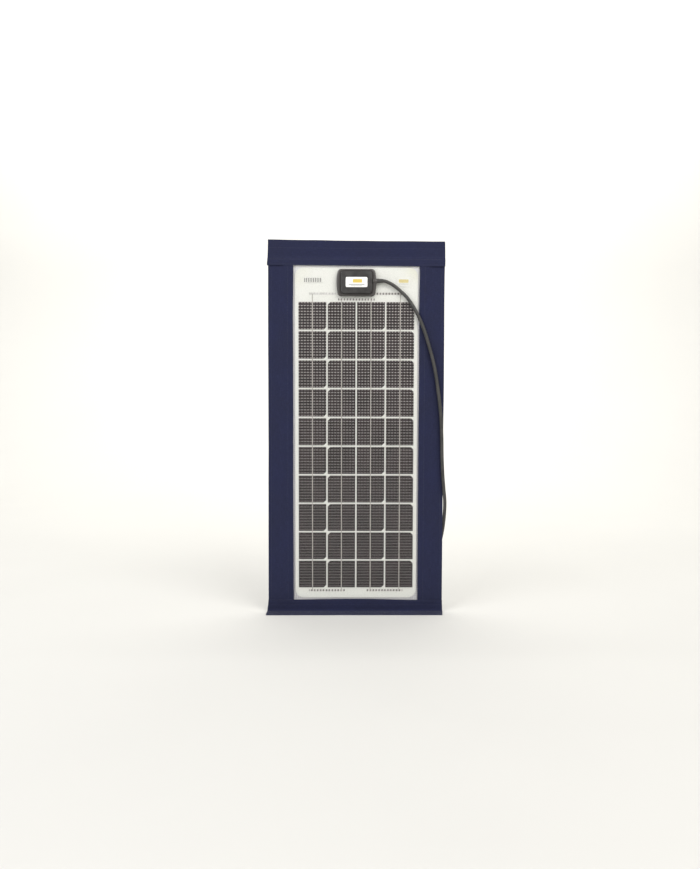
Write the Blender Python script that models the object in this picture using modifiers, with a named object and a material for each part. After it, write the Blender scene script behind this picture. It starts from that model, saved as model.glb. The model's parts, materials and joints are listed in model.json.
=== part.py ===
"""A marine solar panel in a canvas frame, standing upright on its folded bottom margin.

The face looks along -Y and Z is up. The floor is at z = 0, and the origin is below the middle of the panel
and its foot. Depths inside the laminate are measured back from the face of its front film, at FACE_Y.
"""

import math

import bmesh
import bpy
from mathutils import Matrix, Vector

MM = 0.001
GAP = 0.3 * MM  # between pieces that touch

# Cells
COLUMNS = 4
ROWS = 10
CELL = 62.5 * MM
CELL_CORNER = 8.0 * MM
CELL_DEPTH = 0.3 * MM
COLUMN_GAP = 4.36 * MM
ROW_GAP = 3.7 * MM
RIBBON_WIDTH = 2.0 * MM
RIBBON_DEPTH = 0.25 * MM
RIBBON_BITE = 0.1 * MM  # how far a ribbon sinks into the solder of its cells
BUS_WIDTH = 4.5 * MM
BUS_DEPTH = 0.2 * MM
BUS_OVERHANG = 8.0 * MM
BUS_TOP_RISE = 19.0 * MM  # from the cells to the leads that run to the junction box
LINK_TOP_RISE = 5.9 * MM
LINK_BOTTOM_DROP = 7.0 * MM

# Window and sheets
SIDE_MARGIN = 12.3 * MM
TOP_MARGIN = 81.7 * MM
BOTTOM_MARGIN = 28.0 * MM
WHITE_INSET = 4.0 * MM
WHITE_CORNER = 19.0 * MM
FILM_LAP = 10.0 * MM  # how far the films reach under the canvas
FILM_DEPTH = 0.5 * MM
BACKING_DEPTH = 0.4 * MM
CARRIER_DEPTH = 0.8 * MM
CARRIER_INSET = 1.0 * MM
REAR_FILM_DEPTH = 0.4 * MM

# Canvas frame
STRIP = 57.2 * MM
CANVAS = 0.9 * MM
HEM = 2.0 * MM
TAPER_START = 3.0 * MM
TOP_BAND = 20.0 * MM
TOP_FOLD_GAP = 2.5 * MM
BOTTOM_BAND = 28.0 * MM
FOOT = 31.0 * MM
FOOT_FOLD_GAP = 0.4 * MM

# Junction box
BOX_WIDTH = 90.0 * MM
BOX_HEIGHT = 61.0 * MM
BOX_BULGE = 4.2 * MM
BOX_CORNER = 6.0 * MM
BOX_BELOW_TOP = 39.7 * MM
BASE_DEPTH = 9.0 * MM
BASE_WALL = 1.5 * MM
PAD_DEPTH = 1.0 * MM
PAD_INSET = 1.5 * MM
CAVITY_WIDTH = 62.0 * MM
CAVITY_HEIGHT = 43.0 * MM
CAVITY_CORNER = 4.0 * MM
LID_WIDTH = 72.0 * MM
LID_HEIGHT = 51.0 * MM
LID_DEPTH = 5.4 * MM
LID_WALL = 3.0 * MM
LID_TOP = 2.2 * MM
LID_CORNER = 7.0 * MM
GASKET_DEPTH = 0.6 * MM
GASKET_WIDTH = 3.0 * MM
GASKET_INSET = 1.0 * MM
LABEL_WIDTH = 50.0 * MM
LABEL_HEIGHT = 24.0 * MM
LABEL_DEPTH = 0.3 * MM
LABEL_CORNER = 3.0 * MM
SLOT_WIDTH = 48.0 * MM
SLOT_HEIGHT = 7.0 * MM
SLOT_BELOW_CENTRE = 9.0 * MM

# Terminals inside the box
BOARD_WIDTH = 54.0 * MM
BOARD_HEIGHT = 18.0 * MM
BOARD_DEPTH = 1.6 * MM
TERMINAL = Vector((10.0 * MM, 4.0 * MM, 8.0 * MM))
TERMINAL_X = 20.0 * MM
DIODE_RADIUS = 2.2 * MM
DIODE_LENGTH = 7.0 * MM
DIODE_SPACING = 16.0 * MM
LEAD_RADIUS = 0.5 * MM
LEAD_LENGTH = 3.4 * MM

# Cable and its way out of the box
CABLE_RADIUS = 3.9 * MM
CORE_RADIUS = 1.3 * MM
BOSS_WALL = 0.8 * MM
BOSS_REACH = 1.5 * MM  # past the side of the box
GLAND_WALL = 0.7 * MM
GLAND_INSET = 5.5 * MM  # from the cavity's wall
GLAND_ABOVE_CENTRE = 4.5 * MM
RELIEF_LENGTH = 14.0 * MM
RELIEF_START_WALL = 1.2 * MM
RELIEF_END_WALL = 0.4 * MM

# The cable's way from the box over the panel's right edge and down behind it, in millimetres
ROUTE = (
    (37, 5.9, 760.8),
    (62, 5.9, 760.8),
    (72, 6.0, 757.5),
    (83.5, 6.3, 751.5),
    (97, 6.8, 741),
    (114, 7.2, 725),
    (129.5, 7.5, 703),
    (143.6, 7.7, 677),
    (155, 7.8, 649),
    (166, 7.8, 614),
    (178, 7.9, 569),
    (187, 8.0, 515),
    (193.5, 8.1, 460),
    (196.5, 8.2, 410),
    (197.5, 8.3, 365),
    (199.3, 8.5, 325),
    (202.4, 10.0, 288),
    (205.2, 12.9, 263),
    (205.8, 15.6, 245),
    (205.4, 18.6, 227),
    (203.6, 21.6, 203),
    (200, 24.6, 177),
    (193, 28, 146),
    (184, 31, 115),
    (174, 33.5, 86),
    (163.5, 35.2, 59),
    (153, 36, 37),
    (141, 36, 19),
    (127, 36, 8.4),
    (112, 36, 4.7),
    (100, 36, 4.7),
    (81, 36, 5.1),
)
POINT_SPACING = 2.0 * 2 * CABLE_RADIUS

# The cable's way from the top of the hank down to the plug, in millimetres from the tail's corner
TAIL = (
    (-8, -10.8, 23.0),
    (-4, -11.9, 20.5),
    (4, -13.9, 16.0),
    (12, -15.2, 13.1),
    (18.8, -15.7, 12.0),
)

# Hank of spare cable behind the panel, with its turns on top of each other, and the plug at its end
HANK_X = 1.5 * MM
HANK_Y = 60.0 * MM
HANK_RUN = 117.0 * MM
HANK_FOLD = 24.0 * MM
HANK_LAYERS = 4
TURN_SLACK = 0.2 * MM
HANK_FLOOR = 1.2 * MM
TIE_DEPTH = 0.8 * MM
TIE_WIDTH = 14.0 * MM
TAIL_REACH = 18.05 * MM  # from the tail's corner to the room that the cable's slanted end needs
PLUG_INSET = 15.8 * MM  # from the tail's corner to the plug's axis
PLUG_RADIUS = 11.8 * MM
BOOT_LENGTH = 38.0 * MM
BOOT_START_WALL = 0.7 * MM
BOOT_END_RADIUS = 8.0 * MM
SHELL_REAR = 20.0 * MM
SHELL_REAR_RADIUS = 8.8 * MM
SHELL_SHOULDER_RADIUS = 9.8 * MM
GRIP_START = 6.0 * MM
GRIP_LENGTH = 7.0 * MM
SLEEVE_LENGTH = 18.0 * MM
SLEEVE_RADIUS = 8.0 * MM
SLEEVE_LIP = 1.6 * MM
SLEEVE_LIP_RISE = 1.2 * MM
SOCKET_RADIUS = 6.8 * MM
SOCKET_DEPTH = 12.0 * MM
RING_RADIUS = 10.8 * MM
RING_CLEARANCE = 0.3 * MM
INSERT_LENGTH = 8.5 * MM
SEAL_LENGTH = 1.4 * MM
SEAL_WALL = 1.2 * MM
PIN_RADIUS = 1.2 * MM
PIN_LENGTH = 10.0 * MM
PIN_OFFSET = 2.8 * MM

# Printed slips under the film: centre from the window's middle and top, then width and height
SERIAL_PLACE = (-99.4 * MM, 32.1 * MM, 40.0 * MM, 12.0 * MM)
RATING_PLACE = (107.5 * MM, 35.6 * MM, 30.0 * MM, 22.0 * MM)
SLIP_DEPTH = 0.2 * MM

ROUND = 40  # steps round a turned piece

# Derived places
COLUMN_PITCH = CELL + COLUMN_GAP
ROW_PITCH = CELL + ROW_GAP
FIELD_WIDTH = COLUMNS * CELL + (COLUMNS - 1) * COLUMN_GAP
FIELD_HEIGHT = ROWS * CELL + (ROWS - 1) * ROW_GAP
WINDOW_WIDTH = FIELD_WIDTH + 2 * SIDE_MARGIN
WINDOW_HEIGHT = FIELD_HEIGHT + TOP_MARGIN + BOTTOM_MARGIN
WINDOW_BOTTOM = BOTTOM_BAND
WINDOW_TOP = WINDOW_BOTTOM + WINDOW_HEIGHT
CELLS_BOTTOM = WINDOW_BOTTOM + BOTTOM_MARGIN
CELLS_TOP = CELLS_BOTTOM + FIELD_HEIGHT
OUTER_WIDTH = WINDOW_WIDTH + 2 * STRIP
OVERALL_TOP = WINDOW_TOP + STRIP

RIBBON_AT = FILM_DEPTH + GAP
CELLS_AT = RIBBON_AT + RIBBON_DEPTH - RIBBON_BITE
BUS_AT = RIBBON_AT + RIBBON_DEPTH + GAP
BACKING_AT = max(CELLS_AT + CELL_DEPTH, BUS_AT + BUS_DEPTH) + GAP
CARRIER_AT = BACKING_AT + BACKING_DEPTH + GAP
REAR_FILM_AT = CARRIER_AT + CARRIER_DEPTH + GAP
STACK = REAR_FILM_AT + REAR_FILM_DEPTH
CANVAS_FRONT = -(GAP + CANVAS)
CANVAS_BACK = STACK + GAP + CANVAS
CANVAS_MIDDLE = STACK / 2
FACE_Y = (FOOT - CANVAS_FRONT - CANVAS_BACK) / 2

BOX_Z = WINDOW_TOP - BOX_BELOW_TOP
PAD_AT = -(GAP + PAD_DEPTH)
BASE_BACK = PAD_AT - GAP
BASE_FRONT = BASE_BACK - BASE_DEPTH
GASKET_BACK = BASE_FRONT - GAP
LID_BACK = GASKET_BACK - GASKET_DEPTH - GAP
LID_FRONT = LID_BACK - LID_DEPTH
CABLE_BORE = CABLE_RADIUS + GAP
BORE_RADIUS = CABLE_BORE + GLAND_WALL + GAP
BOSS_RADIUS = BORE_RADIUS + BOSS_WALL
GLAND_X = CAVITY_WIDTH / 2 + GLAND_INSET
GLAND_Z = BOX_Z + GLAND_ABOVE_CENTRE
GLAND_DEPTH = BASE_BACK - BOSS_RADIUS
BOSS_END = BOX_WIDTH / 2 + BOSS_REACH
BOARD_BACK = BASE_BACK - BASE_WALL - GAP
BOARD_FRONT = BOARD_BACK - BOARD_DEPTH
TERMINAL_BACK = BOARD_FRONT - GAP
SLOT_Z = BOX_Z - SLOT_BELOW_CENTRE
TURN_PITCH = 2 * CABLE_RADIUS + TURN_SLACK
HANK_HEIGHT = HANK_LAYERS * TURN_PITCH
HANK_OUTER = HANK_FOLD + TURN_PITCH / 2
HANK_BORE = HANK_FOLD - TURN_PITCH / 2
BOOT_START_RADIUS = CABLE_RADIUS + BOOT_START_WALL
TAIL_X = HANK_X + HANK_RUN / 2 + HANK_FOLD + TURN_PITCH
TAIL_Y = HANK_Y + HANK_FOLD + TURN_PITCH
PLUG_X = TAIL_X + TAIL_REACH + CABLE_RADIUS / 2
PLUG_Y = TAIL_Y - PLUG_INSET
SHELL_X = PLUG_X + BOOT_LENGTH + GAP
SLEEVE_X = SHELL_X + SHELL_REAR
SHELL_END = SLEEVE_X + SLEEVE_LENGTH


# Tools


def clear_scene():
    for obj in list(bpy.data.objects):
        bpy.data.objects.remove(obj, do_unlink=True)


def make_collection(name):
    collection = bpy.data.collections.new(name)
    bpy.context.scene.collection.children.link(collection)
    return collection


def finish(name, colour, roughness, metallic=0.0, alpha=1.0):
    """A plain Principled material."""
    material = bpy.data.materials.new(name)
    material.use_nodes = True
    shader = material.node_tree.nodes["Principled BSDF"]
    shader.inputs["Base Color"].default_value = (*colour, 1.0)
    shader.inputs["Roughness"].default_value = roughness
    shader.inputs["Metallic"].default_value = metallic
    shader.inputs["Alpha"].default_value = alpha
    return material


def place(name, data, material, location=(0, 0, 0), rotation=None, parent=None):
    """Puts a mesh or curve in the scene as one named piece, at a world place."""
    obj = bpy.data.objects.new(name, data)
    PANEL.objects.link(obj)
    data.materials.append(material)
    world = Matrix.Translation(location)
    if rotation is not None:
        world = world @ rotation
    obj.matrix_world = world
    if parent is not None:
        obj.parent = parent
        obj.matrix_parent_inverse = Matrix.Translation(parent.location).inverted()
    return obj


def pivot(name, location):
    """An empty on a joint's axis."""
    empty = bpy.data.objects.new(name, None)
    empty.empty_display_size = 0.02
    empty.location = location
    PANEL.objects.link(empty)
    return empty


def as_cutter(obj):
    PANEL.objects.unlink(obj)
    CUTTERS.objects.link(obj)
    obj.hide_render = True
    obj.display_type = "WIRE"
    return obj


def combine(obj, other, operation):
    """Adds an exact Boolean of another piece, which becomes a cutter."""
    as_cutter(other)
    modifier = obj.modifiers.new(other.name, "BOOLEAN")
    modifier.operation = operation
    modifier.solver = "EXACT"
    modifier.object = other
    return obj


def cut(obj, *others):
    for other in others:
        combine(obj, other, "DIFFERENCE")
    return obj


def join(obj, *others):
    for other in others:
        combine(obj, other, "UNION")
    return obj


def block(name, low, high, material, corner=0.0, parent=None):
    """A box between two corners. Its edges along Y are rounded by the corner radius."""
    low, high = Vector(low), Vector(high)
    size = high - low
    shape = bmesh.new()
    bmesh.ops.create_cube(shape, size=1.0, matrix=Matrix.Diagonal((*size, 1.0)))
    if corner:
        edges = [e for e in shape.edges if abs(e.verts[0].co.y - e.verts[1].co.y) > size.y / 2]
        bmesh.ops.bevel(shape, geom=edges, offset=corner, segments=6, profile=0.5, affect="EDGES")
    mesh = bpy.data.meshes.new(name)
    shape.to_mesh(mesh)
    shape.free()
    return place(name, mesh, material, (low + high) / 2, parent=parent)


def sheet(name, width, bottom, top, near, depth, material, corner=0.0):
    """A flat sheet centred on the panel, its front face a depth behind the film's face."""
    low = (-width / 2, FACE_Y + near, bottom)
    high = (width / 2, FACE_Y + near + depth, top)
    return block(name, low, high, material, corner)


def prism(name, outlines, length, material, location, rotation, parent=None):
    """Closed outlines in the local XY plane, the first the outside, pushed out both ways along local Z."""
    curve = bpy.data.curves.new(name, "CURVE")
    curve.dimensions = "2D"
    curve.fill_mode = "BOTH"
    curve.extrude = length / 2
    for outline in outlines:
        spline = curve.splines.new("POLY")
        spline.points.add(len(outline) - 1)
        for point, (x, y) in zip(spline.points, outline):
            point.co = (x, y, 0.0, 1.0)
        spline.use_cyclic_u = True
    return place(name, curve, material, location, rotation, parent)


def prism_as_mesh(obj):
    """Turns a prism into a welded mesh, so that it can take a Boolean."""
    graph = bpy.context.evaluated_depsgraph_get()
    mesh = bpy.data.meshes.new_from_object(obj.evaluated_get(graph))
    shape = bmesh.new()
    shape.from_mesh(mesh)
    bmesh.ops.remove_doubles(shape, verts=shape.verts, dist=0.00001)
    bmesh.ops.recalc_face_normals(shape, faces=shape.faces)
    shape.to_mesh(mesh)
    shape.free()
    name, world, curve = obj.name, obj.matrix_world.copy(), obj.data
    bpy.data.objects.remove(obj)
    bpy.data.curves.remove(curve)
    mesh.name = name
    made = bpy.data.objects.new(name, mesh)
    made.matrix_world = world
    PANEL.objects.link(made)
    return made


def turned(name, profile, material, location, parent=None):
    """A turned piece on an axis along +X. Its profile is a closed loop of (place along X, radius) points."""
    mesh = bpy.data.meshes.new(name)
    points = [(radius, 0.0, along) for along, radius in profile]
    count = len(points)
    mesh.from_pydata(points, [(i, (i + 1) % count) for i in range(count)], [])
    obj = place(name, mesh, material, location, Matrix.Rotation(math.pi / 2, 4, "Y"), parent)
    screw = obj.modifiers.new("turn", "SCREW")
    screw.axis = "Z"
    screw.steps = screw.render_steps = ROUND
    screw.use_merge_vertices = True
    screw.merge_threshold = 0.00005
    return obj


def bored(start, end, radius, bore):
    """The profile of a sleeve: down its outside, back along its bore."""
    return [(end, bore), (end, radius), (start, radius), (start, bore)]


def solid(start, end, radius):
    return bored(start, end, radius, 0.0)


def smooth_path(points, spacing, before=None):
    """Points a spacing apart on the smooth curve through the given ones, arriving from the one before."""
    ends = [before or points[0] * 2 - points[1], *points, points[-1] * 2 - points[-2]]
    fine = []
    for i in range(1, len(ends) - 2):
        a, b, c, d = ends[i - 1 : i + 3]
        for step in range(16):
            t = step / 16
            bend = 2 * a - 5 * b + 4 * c - d
            fine.append(0.5 * (2 * b + (c - a) * t + bend * t**2 + (3 * b - a - 3 * c + d) * t**3))
    fine.append(points[-1])
    lengths = [0.0]
    for p, q in zip(fine, fine[1:]):
        lengths.append(lengths[-1] + (q - p).length)
    count = max(2, round(lengths[-1] / spacing))
    picked, k = [], 0
    for n in range(count + 1):
        target = lengths[-1] * n / count
        while k < len(fine) - 2 and lengths[k + 1] < target:
            k += 1
        share = (target - lengths[k]) / (lengths[k + 1] - lengths[k])
        picked.append(fine[k].lerp(fine[k + 1], share))
    return picked


def tube(name, points, radius, material, resolution=3):
    """A round cord through the points, its ends closed."""
    curve = bpy.data.curves.new(name, "CURVE")
    curve.dimensions = "3D"
    curve.bevel_depth = radius
    curve.bevel_resolution = resolution
    curve.use_fill_caps = True
    spline = curve.splines.new("POLY")
    spline.points.add(len(points) - 1)
    for point, co in zip(spline.points, points):
        point.co = (*co, 1.0)
    return place(name, curve, material)


# Outlines lie in local XY. These turn them to face along the panel's own axes.
ALONG_X = Matrix(((0, 0, 1, 0), (1, 0, 0, 0), (0, 1, 0, 0), (0, 0, 0, 1)))  # outline in YZ
ALONG_Y = Matrix.Rotation(math.pi / 2, 4, "X")  # outline in XZ, pushed out along Y
ALONG_Z = Matrix.Identity(4)  # outline in XY


def rectangle(low, high, corner=0.0, steps=5):
    """Outline of a rectangle between two (x, y) corners, with round corners."""
    if not corner:
        return [low, (high[0], low[1]), high, (low[0], high[1])]
    points = []
    centres = (
        (high[0] - corner, high[1] - corner, 0),
        (low[0] + corner, high[1] - corner, 90),
        (low[0] + corner, low[1] + corner, 180),
        (high[0] - corner, low[1] + corner, 270),
    )
    for x, y, start in centres:
        for step in range(steps + 1):
            angle = math.radians(start + 90 * step / steps)
            points.append((x + corner * math.cos(angle), y + corner * math.sin(angle)))
    return points


def stadium(run, radius, steps=12):
    """Outline of two straight runs along X with half-round ends."""
    points = []
    for side, start in ((1, -90), (-1, 90)):
        for step in range(steps + 1):
            angle = math.radians(start + 180 * step / steps)
            points.append((side * run / 2 + radius * math.cos(angle), radius * math.sin(angle)))
    return points


def barrel(width, height, bulge, corner, steps=5):
    """Outline with straight ends, round corners and sides that bulge out to the full width."""
    shoulder = width / 2 - bulge
    half = height / 2 - corner
    radius = (half**2 + bulge**2) / (2 * bulge)
    quarter = []
    for step in range(steps + 1):
        angle = math.radians(90 - 90 * step / steps)
        quarter.append((shoulder - corner + corner * math.cos(angle), half + corner * math.sin(angle)))
    for step in range(1, steps + 1):
        y = half * (1 - step / steps)
        quarter.append((width / 2 - radius + math.sqrt(radius**2 - y**2), y))
    right = quarter + [(x, -y) for x, y in reversed(quarter[:-1])]
    return right + [(-x, y) for x, y in reversed(right)]


# Canvas frame


def strip_profile(length, taper):
    """Section of a strip round the laminate's edge: (distance out from the window, depth behind the face)."""
    pocket = FILM_LAP + GAP
    shoulder = pocket + TAPER_START
    front = CANVAS_MIDDLE - HEM / 2 if taper else CANVAS_FRONT
    return [
        (0.0, CANVAS_FRONT),
        (shoulder, CANVAS_FRONT),
        (length, front),
        (length, CANVAS_MIDDLE + HEM / 2),
        (shoulder, CANVAS_BACK),
        (0.0, CANVAS_BACK),
        (0.0, CANVAS_BACK - CANVAS),
        (pocket, CANVAS_BACK - CANVAS),
        (pocket, CANVAS_FRONT + CANVAS),
        (0.0, CANVAS_FRONT + CANVAS),
    ]


def build_canvas(canvas):
    """Side strips between the cross strips, and the cross strips' sewn parts over the full width."""
    middle = (WINDOW_BOTTOM + WINDOW_TOP) / 2
    for name, side in (("canvas_left", -1), ("canvas_right", 1)):
        outline = [(side * (WINDOW_WIDTH / 2 + out), depth) for out, depth in strip_profile(STRIP, True)]
        prism(name, [outline], WINDOW_HEIGHT - 2 * GAP, canvas, (0, FACE_Y, middle), ALONG_Z)
    top = [(depth, out) for out, depth in strip_profile(TOP_BAND, True)]
    prism("canvas_top", [top], OUTER_WIDTH, canvas, (0, FACE_Y, WINDOW_TOP), ALONG_X)
    bottom = [(depth, -out) for out, depth in strip_profile(BOTTOM_BAND, False)]
    prism("canvas_bottom", [bottom], OUTER_WIDTH, canvas, (0, FACE_Y, WINDOW_BOTTOM), ALONG_X)


def build_margins(canvas):
    """The free margins, each on an empty at its fold line."""
    half = OUTER_WIDTH / 2
    middle = FACE_Y + CANVAS_MIDDLE
    fold = WINDOW_TOP + TOP_BAND + TOP_FOLD_GAP
    top_fold = pivot("top_fold", (0, middle, fold))
    low = (-half, middle - HEM / 2, fold + TOP_FOLD_GAP)
    block("top_flap", low, (half, middle + HEM / 2, OVERALL_TOP), canvas, parent=top_fold)

    front = FACE_Y + CANVAS_FRONT
    bottom_fold = pivot("bottom_fold", (0, front - FOOT_FOLD_GAP, HEM + FOOT_FOLD_GAP))
    high = (half, front - 2 * FOOT_FOLD_GAP, HEM)
    block("bottom_flap", (-half, front - FOOT, 0), high, canvas, parent=bottom_fold)


# Laminate


def build_sheets(clear, white, aluminium, grey):
    """The films, the white field and the stiffener."""
    film_width = WINDOW_WIDTH + 2 * FILM_LAP
    low, high = WINDOW_BOTTOM - FILM_LAP, WINDOW_TOP + FILM_LAP
    film = sheet("front_film", film_width, low, high, 0.0, FILM_DEPTH, clear)
    cut(film, slot_cutter("film_slot", -1 * MM, 2 * MM))

    white_width = WINDOW_WIDTH - 2 * WHITE_INSET
    low, high = WINDOW_BOTTOM + WHITE_INSET, WINDOW_TOP - WHITE_INSET
    sheet("backing_film", white_width, low, high, BACKING_AT, BACKING_DEPTH, white, WHITE_CORNER)
    corner = WHITE_CORNER - CARRIER_INSET
    low, high = low + CARRIER_INSET, high - CARRIER_INSET
    width = white_width - 2 * CARRIER_INSET
    sheet("carrier_plate", width, low, high, CARRIER_AT, CARRIER_DEPTH, aluminium, corner)
    low, high = WINDOW_BOTTOM - FILM_LAP, WINDOW_TOP + FILM_LAP
    sheet("rear_film", film_width, low, high, REAR_FILM_AT, REAR_FILM_DEPTH, grey)


def slot_cutter(name, near, far):
    """A block through the slot that the leads take into the junction box."""
    low = (-SLOT_WIDTH / 2, FACE_Y + near, SLOT_Z - SLOT_HEIGHT / 2)
    high = (SLOT_WIDTH / 2, FACE_Y + far, SLOT_Z + SLOT_HEIGHT / 2)
    return block(name, low, high, bpy.data.materials["black plastic"])


def column_x(column):
    return (column - (COLUMNS - 1) / 2) * COLUMN_PITCH


def build_strings(silicon):
    """Each column of cells with its ribbon. The column sets which corner of a cell is cut off."""
    cut_corners = ((1, -1), (-1, 1), (1, -1), (1, 1))
    for column in range(COLUMNS):
        x = column_x(column)
        lead_top = LINK_TOP_RISE if 0 < column < COLUMNS - 1 else BUS_TOP_RISE
        low = (x - RIBBON_WIDTH / 2, FACE_Y + RIBBON_AT, CELLS_BOTTOM - LINK_BOTTOM_DROP - BUS_WIDTH / 2)
        high = (x + RIBBON_WIDTH / 2, low[1] + RIBBON_DEPTH, CELLS_TOP + lead_top + BUS_WIDTH / 2)
        string = block(f"cell_string_{column + 1}", low, high, silicon)
        join(string, cell_column(column, x, cut_corners[column]))


def cell_column(column, x, corner):
    """The ten cells of a column as one helper mesh of separate boxes."""
    shape = bmesh.new()
    for row in range(ROWS):
        z = CELLS_BOTTOM + CELL / 2 + row * ROW_PITCH
        centre = Vector((x, FACE_Y + CELLS_AT + CELL_DEPTH / 2, z))
        size = Matrix.Diagonal((CELL, CELL_DEPTH, CELL, 1.0))
        made = bmesh.ops.create_cube(shape, size=1.0, matrix=Matrix.Translation(centre) @ size)
        edges = {e for v in made["verts"] for e in v.link_edges}
        where = Vector((x + corner[0] * CELL / 2, 0, z + corner[1] * CELL / 2))
        chosen = [e for e in edges if all((v.co.xz - where.xz).length < MM for v in e.verts)]
        bmesh.ops.bevel(shape, geom=chosen, offset=CELL_CORNER, segments=2, profile=0.5, affect="EDGES")
    mesh = bpy.data.meshes.new(f"cells_{column + 1}")
    shape.to_mesh(mesh)
    shape.free()
    return place(mesh.name, mesh, bpy.data.materials["silicon"])


def build_buses(tinned):
    """Links between the strings, and the two leads that turn forward through the slot to the terminals."""
    inner, outer = column_x(2), column_x(3)
    link(tinned, "bus_top_link", -inner, inner, CELLS_TOP + LINK_TOP_RISE)
    link(tinned, "bus_bottom_left", -outer, -inner, CELLS_BOTTOM - LINK_BOTTOM_DROP)
    link(tinned, "bus_bottom_right", inner, outer, CELLS_BOTTOM - LINK_BOTTOM_DROP)
    for name, side in (("bus_top_left", -1), ("bus_top_right", 1)):
        level = CELLS_TOP + BUS_TOP_RISE
        near, far = FACE_Y + BUS_AT, FACE_Y + BUS_AT + BUS_DEPTH
        inside = FACE_Y + TERMINAL_BACK - TERMINAL.y / 2
        edges = sorted((side * (TERMINAL_X - BUS_WIDTH / 2), side * (TERMINAL_X + BUS_WIDTH / 2)))
        ends = sorted((edges[0] if side > 0 else edges[1], side * (outer + BUS_OVERHANG)))
        bottom = level - BUS_WIDTH / 2
        bus = block(name, (ends[0], near, bottom), (ends[1], far, bottom + BUS_WIDTH), tinned)
        riser = block(f"{name}_riser", (edges[0], near, bottom), (edges[1], far, SLOT_Z), tinned)
        leg_low = (edges[0], inside, SLOT_Z - BUS_DEPTH)
        leg = block(f"{name}_leg", leg_low, (edges[1], far, SLOT_Z), tinned)
        tip_low = (edges[0], inside, SLOT_Z - BUS_DEPTH)
        tip = block(f"{name}_tip", tip_low, (edges[1], inside + BUS_DEPTH, BOX_Z - GAP), tinned)
        join(bus, riser, leg, tip)


def link(tinned, name, left, right, level):
    low = (left - BUS_OVERHANG, FACE_Y + BUS_AT, level - BUS_WIDTH / 2)
    high = (right + BUS_OVERHANG, FACE_Y + BUS_AT + BUS_DEPTH, level + BUS_WIDTH / 2)
    return block(name, low, high, tinned)


def build_slips(paper):
    """Printed slips that lie on the white field, under the film."""
    for name, (x, below, width, height) in (("serial_label", SERIAL_PLACE), ("rating_label", RATING_PLACE)):
        z = WINDOW_TOP - below
        low = (x - width / 2, FACE_Y + RIBBON_AT, z - height / 2)
        block(name, low, (x + width / 2, low[1] + SLIP_DEPTH, z + height / 2), paper)


# Junction box


def box_block(name, width, height, back, depth, material, corner=0.0):
    """A block centred on the box, its back a depth behind the film's face (negative is in front of it)."""
    low = (-width / 2, FACE_Y + back - depth, BOX_Z - height / 2)
    return block(name, low, (width / 2, FACE_Y + back, BOX_Z + height / 2), material, corner)


def build_box(plastic, rubber, paper):
    """Pad, base with its cable boss, gasket, lid and label."""
    outline = barrel(BOX_WIDTH - 2 * PAD_INSET, BOX_HEIGHT - 2 * PAD_INSET, BOX_BULGE, BOX_CORNER)
    across, foot = SLOT_WIDTH / 2 + GAP, SLOT_Z - BOX_Z - SLOT_HEIGHT / 2
    hole = rectangle((-across, foot), (across, foot + SLOT_HEIGHT))
    where = (0, FACE_Y + PAD_AT + PAD_DEPTH / 2, BOX_Z)
    prism("box_pad", [outline, hole], PAD_DEPTH, rubber, where, ALONG_Y)

    outline = barrel(BOX_WIDTH, BOX_HEIGHT, BOX_BULGE, BOX_CORNER)
    centre = (0, FACE_Y + BASE_BACK - BASE_DEPTH / 2, BOX_Z)
    base = prism_as_mesh(prism("box_base", [outline], BASE_DEPTH, plastic, centre, ALONG_Y))
    axis = (0, FACE_Y + GLAND_DEPTH, GLAND_Z)
    boss_start = LID_WIDTH / 2 + GAP
    join(base, turned("boss", solid(boss_start, BOSS_END, BOSS_RADIUS), plastic, axis))
    depth = BASE_DEPTH - BASE_WALL + MM
    floor = BASE_BACK - BASE_WALL
    cavity = box_block("cavity", CAVITY_WIDTH, CAVITY_HEIGHT, floor, depth, plastic, CAVITY_CORNER)
    bore = turned("bore", solid(CAVITY_WIDTH / 2 - MM, BOSS_END + MM, BORE_RADIUS), plastic, axis)
    cut(base, cavity, slot_cutter("base_slot", floor - MM, BASE_BACK + MM), bore)

    outer = (LID_WIDTH / 2 - GASKET_INSET, LID_HEIGHT / 2 - GASKET_INSET)
    inner = (outer[0] - GASKET_WIDTH, outer[1] - GASKET_WIDTH)
    rings = [
        rectangle((-outer[0], -outer[1]), outer, LID_CORNER - GASKET_INSET),
        rectangle((-inner[0], -inner[1]), inner, CAVITY_CORNER),
    ]
    centre = (0, FACE_Y + GASKET_BACK - GASKET_DEPTH / 2, BOX_Z)
    prism("lid_gasket", rings, GASKET_DEPTH, rubber, centre, ALONG_Y)

    lid = box_block("box_lid", LID_WIDTH, LID_HEIGHT, LID_BACK, LID_DEPTH, plastic, LID_CORNER)
    hollow = (LID_WIDTH - 2 * LID_WALL, LID_HEIGHT - 2 * LID_WALL)
    depth = LID_DEPTH - LID_TOP + MM
    cut(lid, box_block("lid_hollow", *hollow, LID_BACK + MM, depth, plastic, LID_CORNER - LID_WALL))
    box_block("box_label", LABEL_WIDTH, LABEL_HEIGHT, LID_FRONT - GAP, LABEL_DEPTH, paper, LABEL_CORNER)


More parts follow.
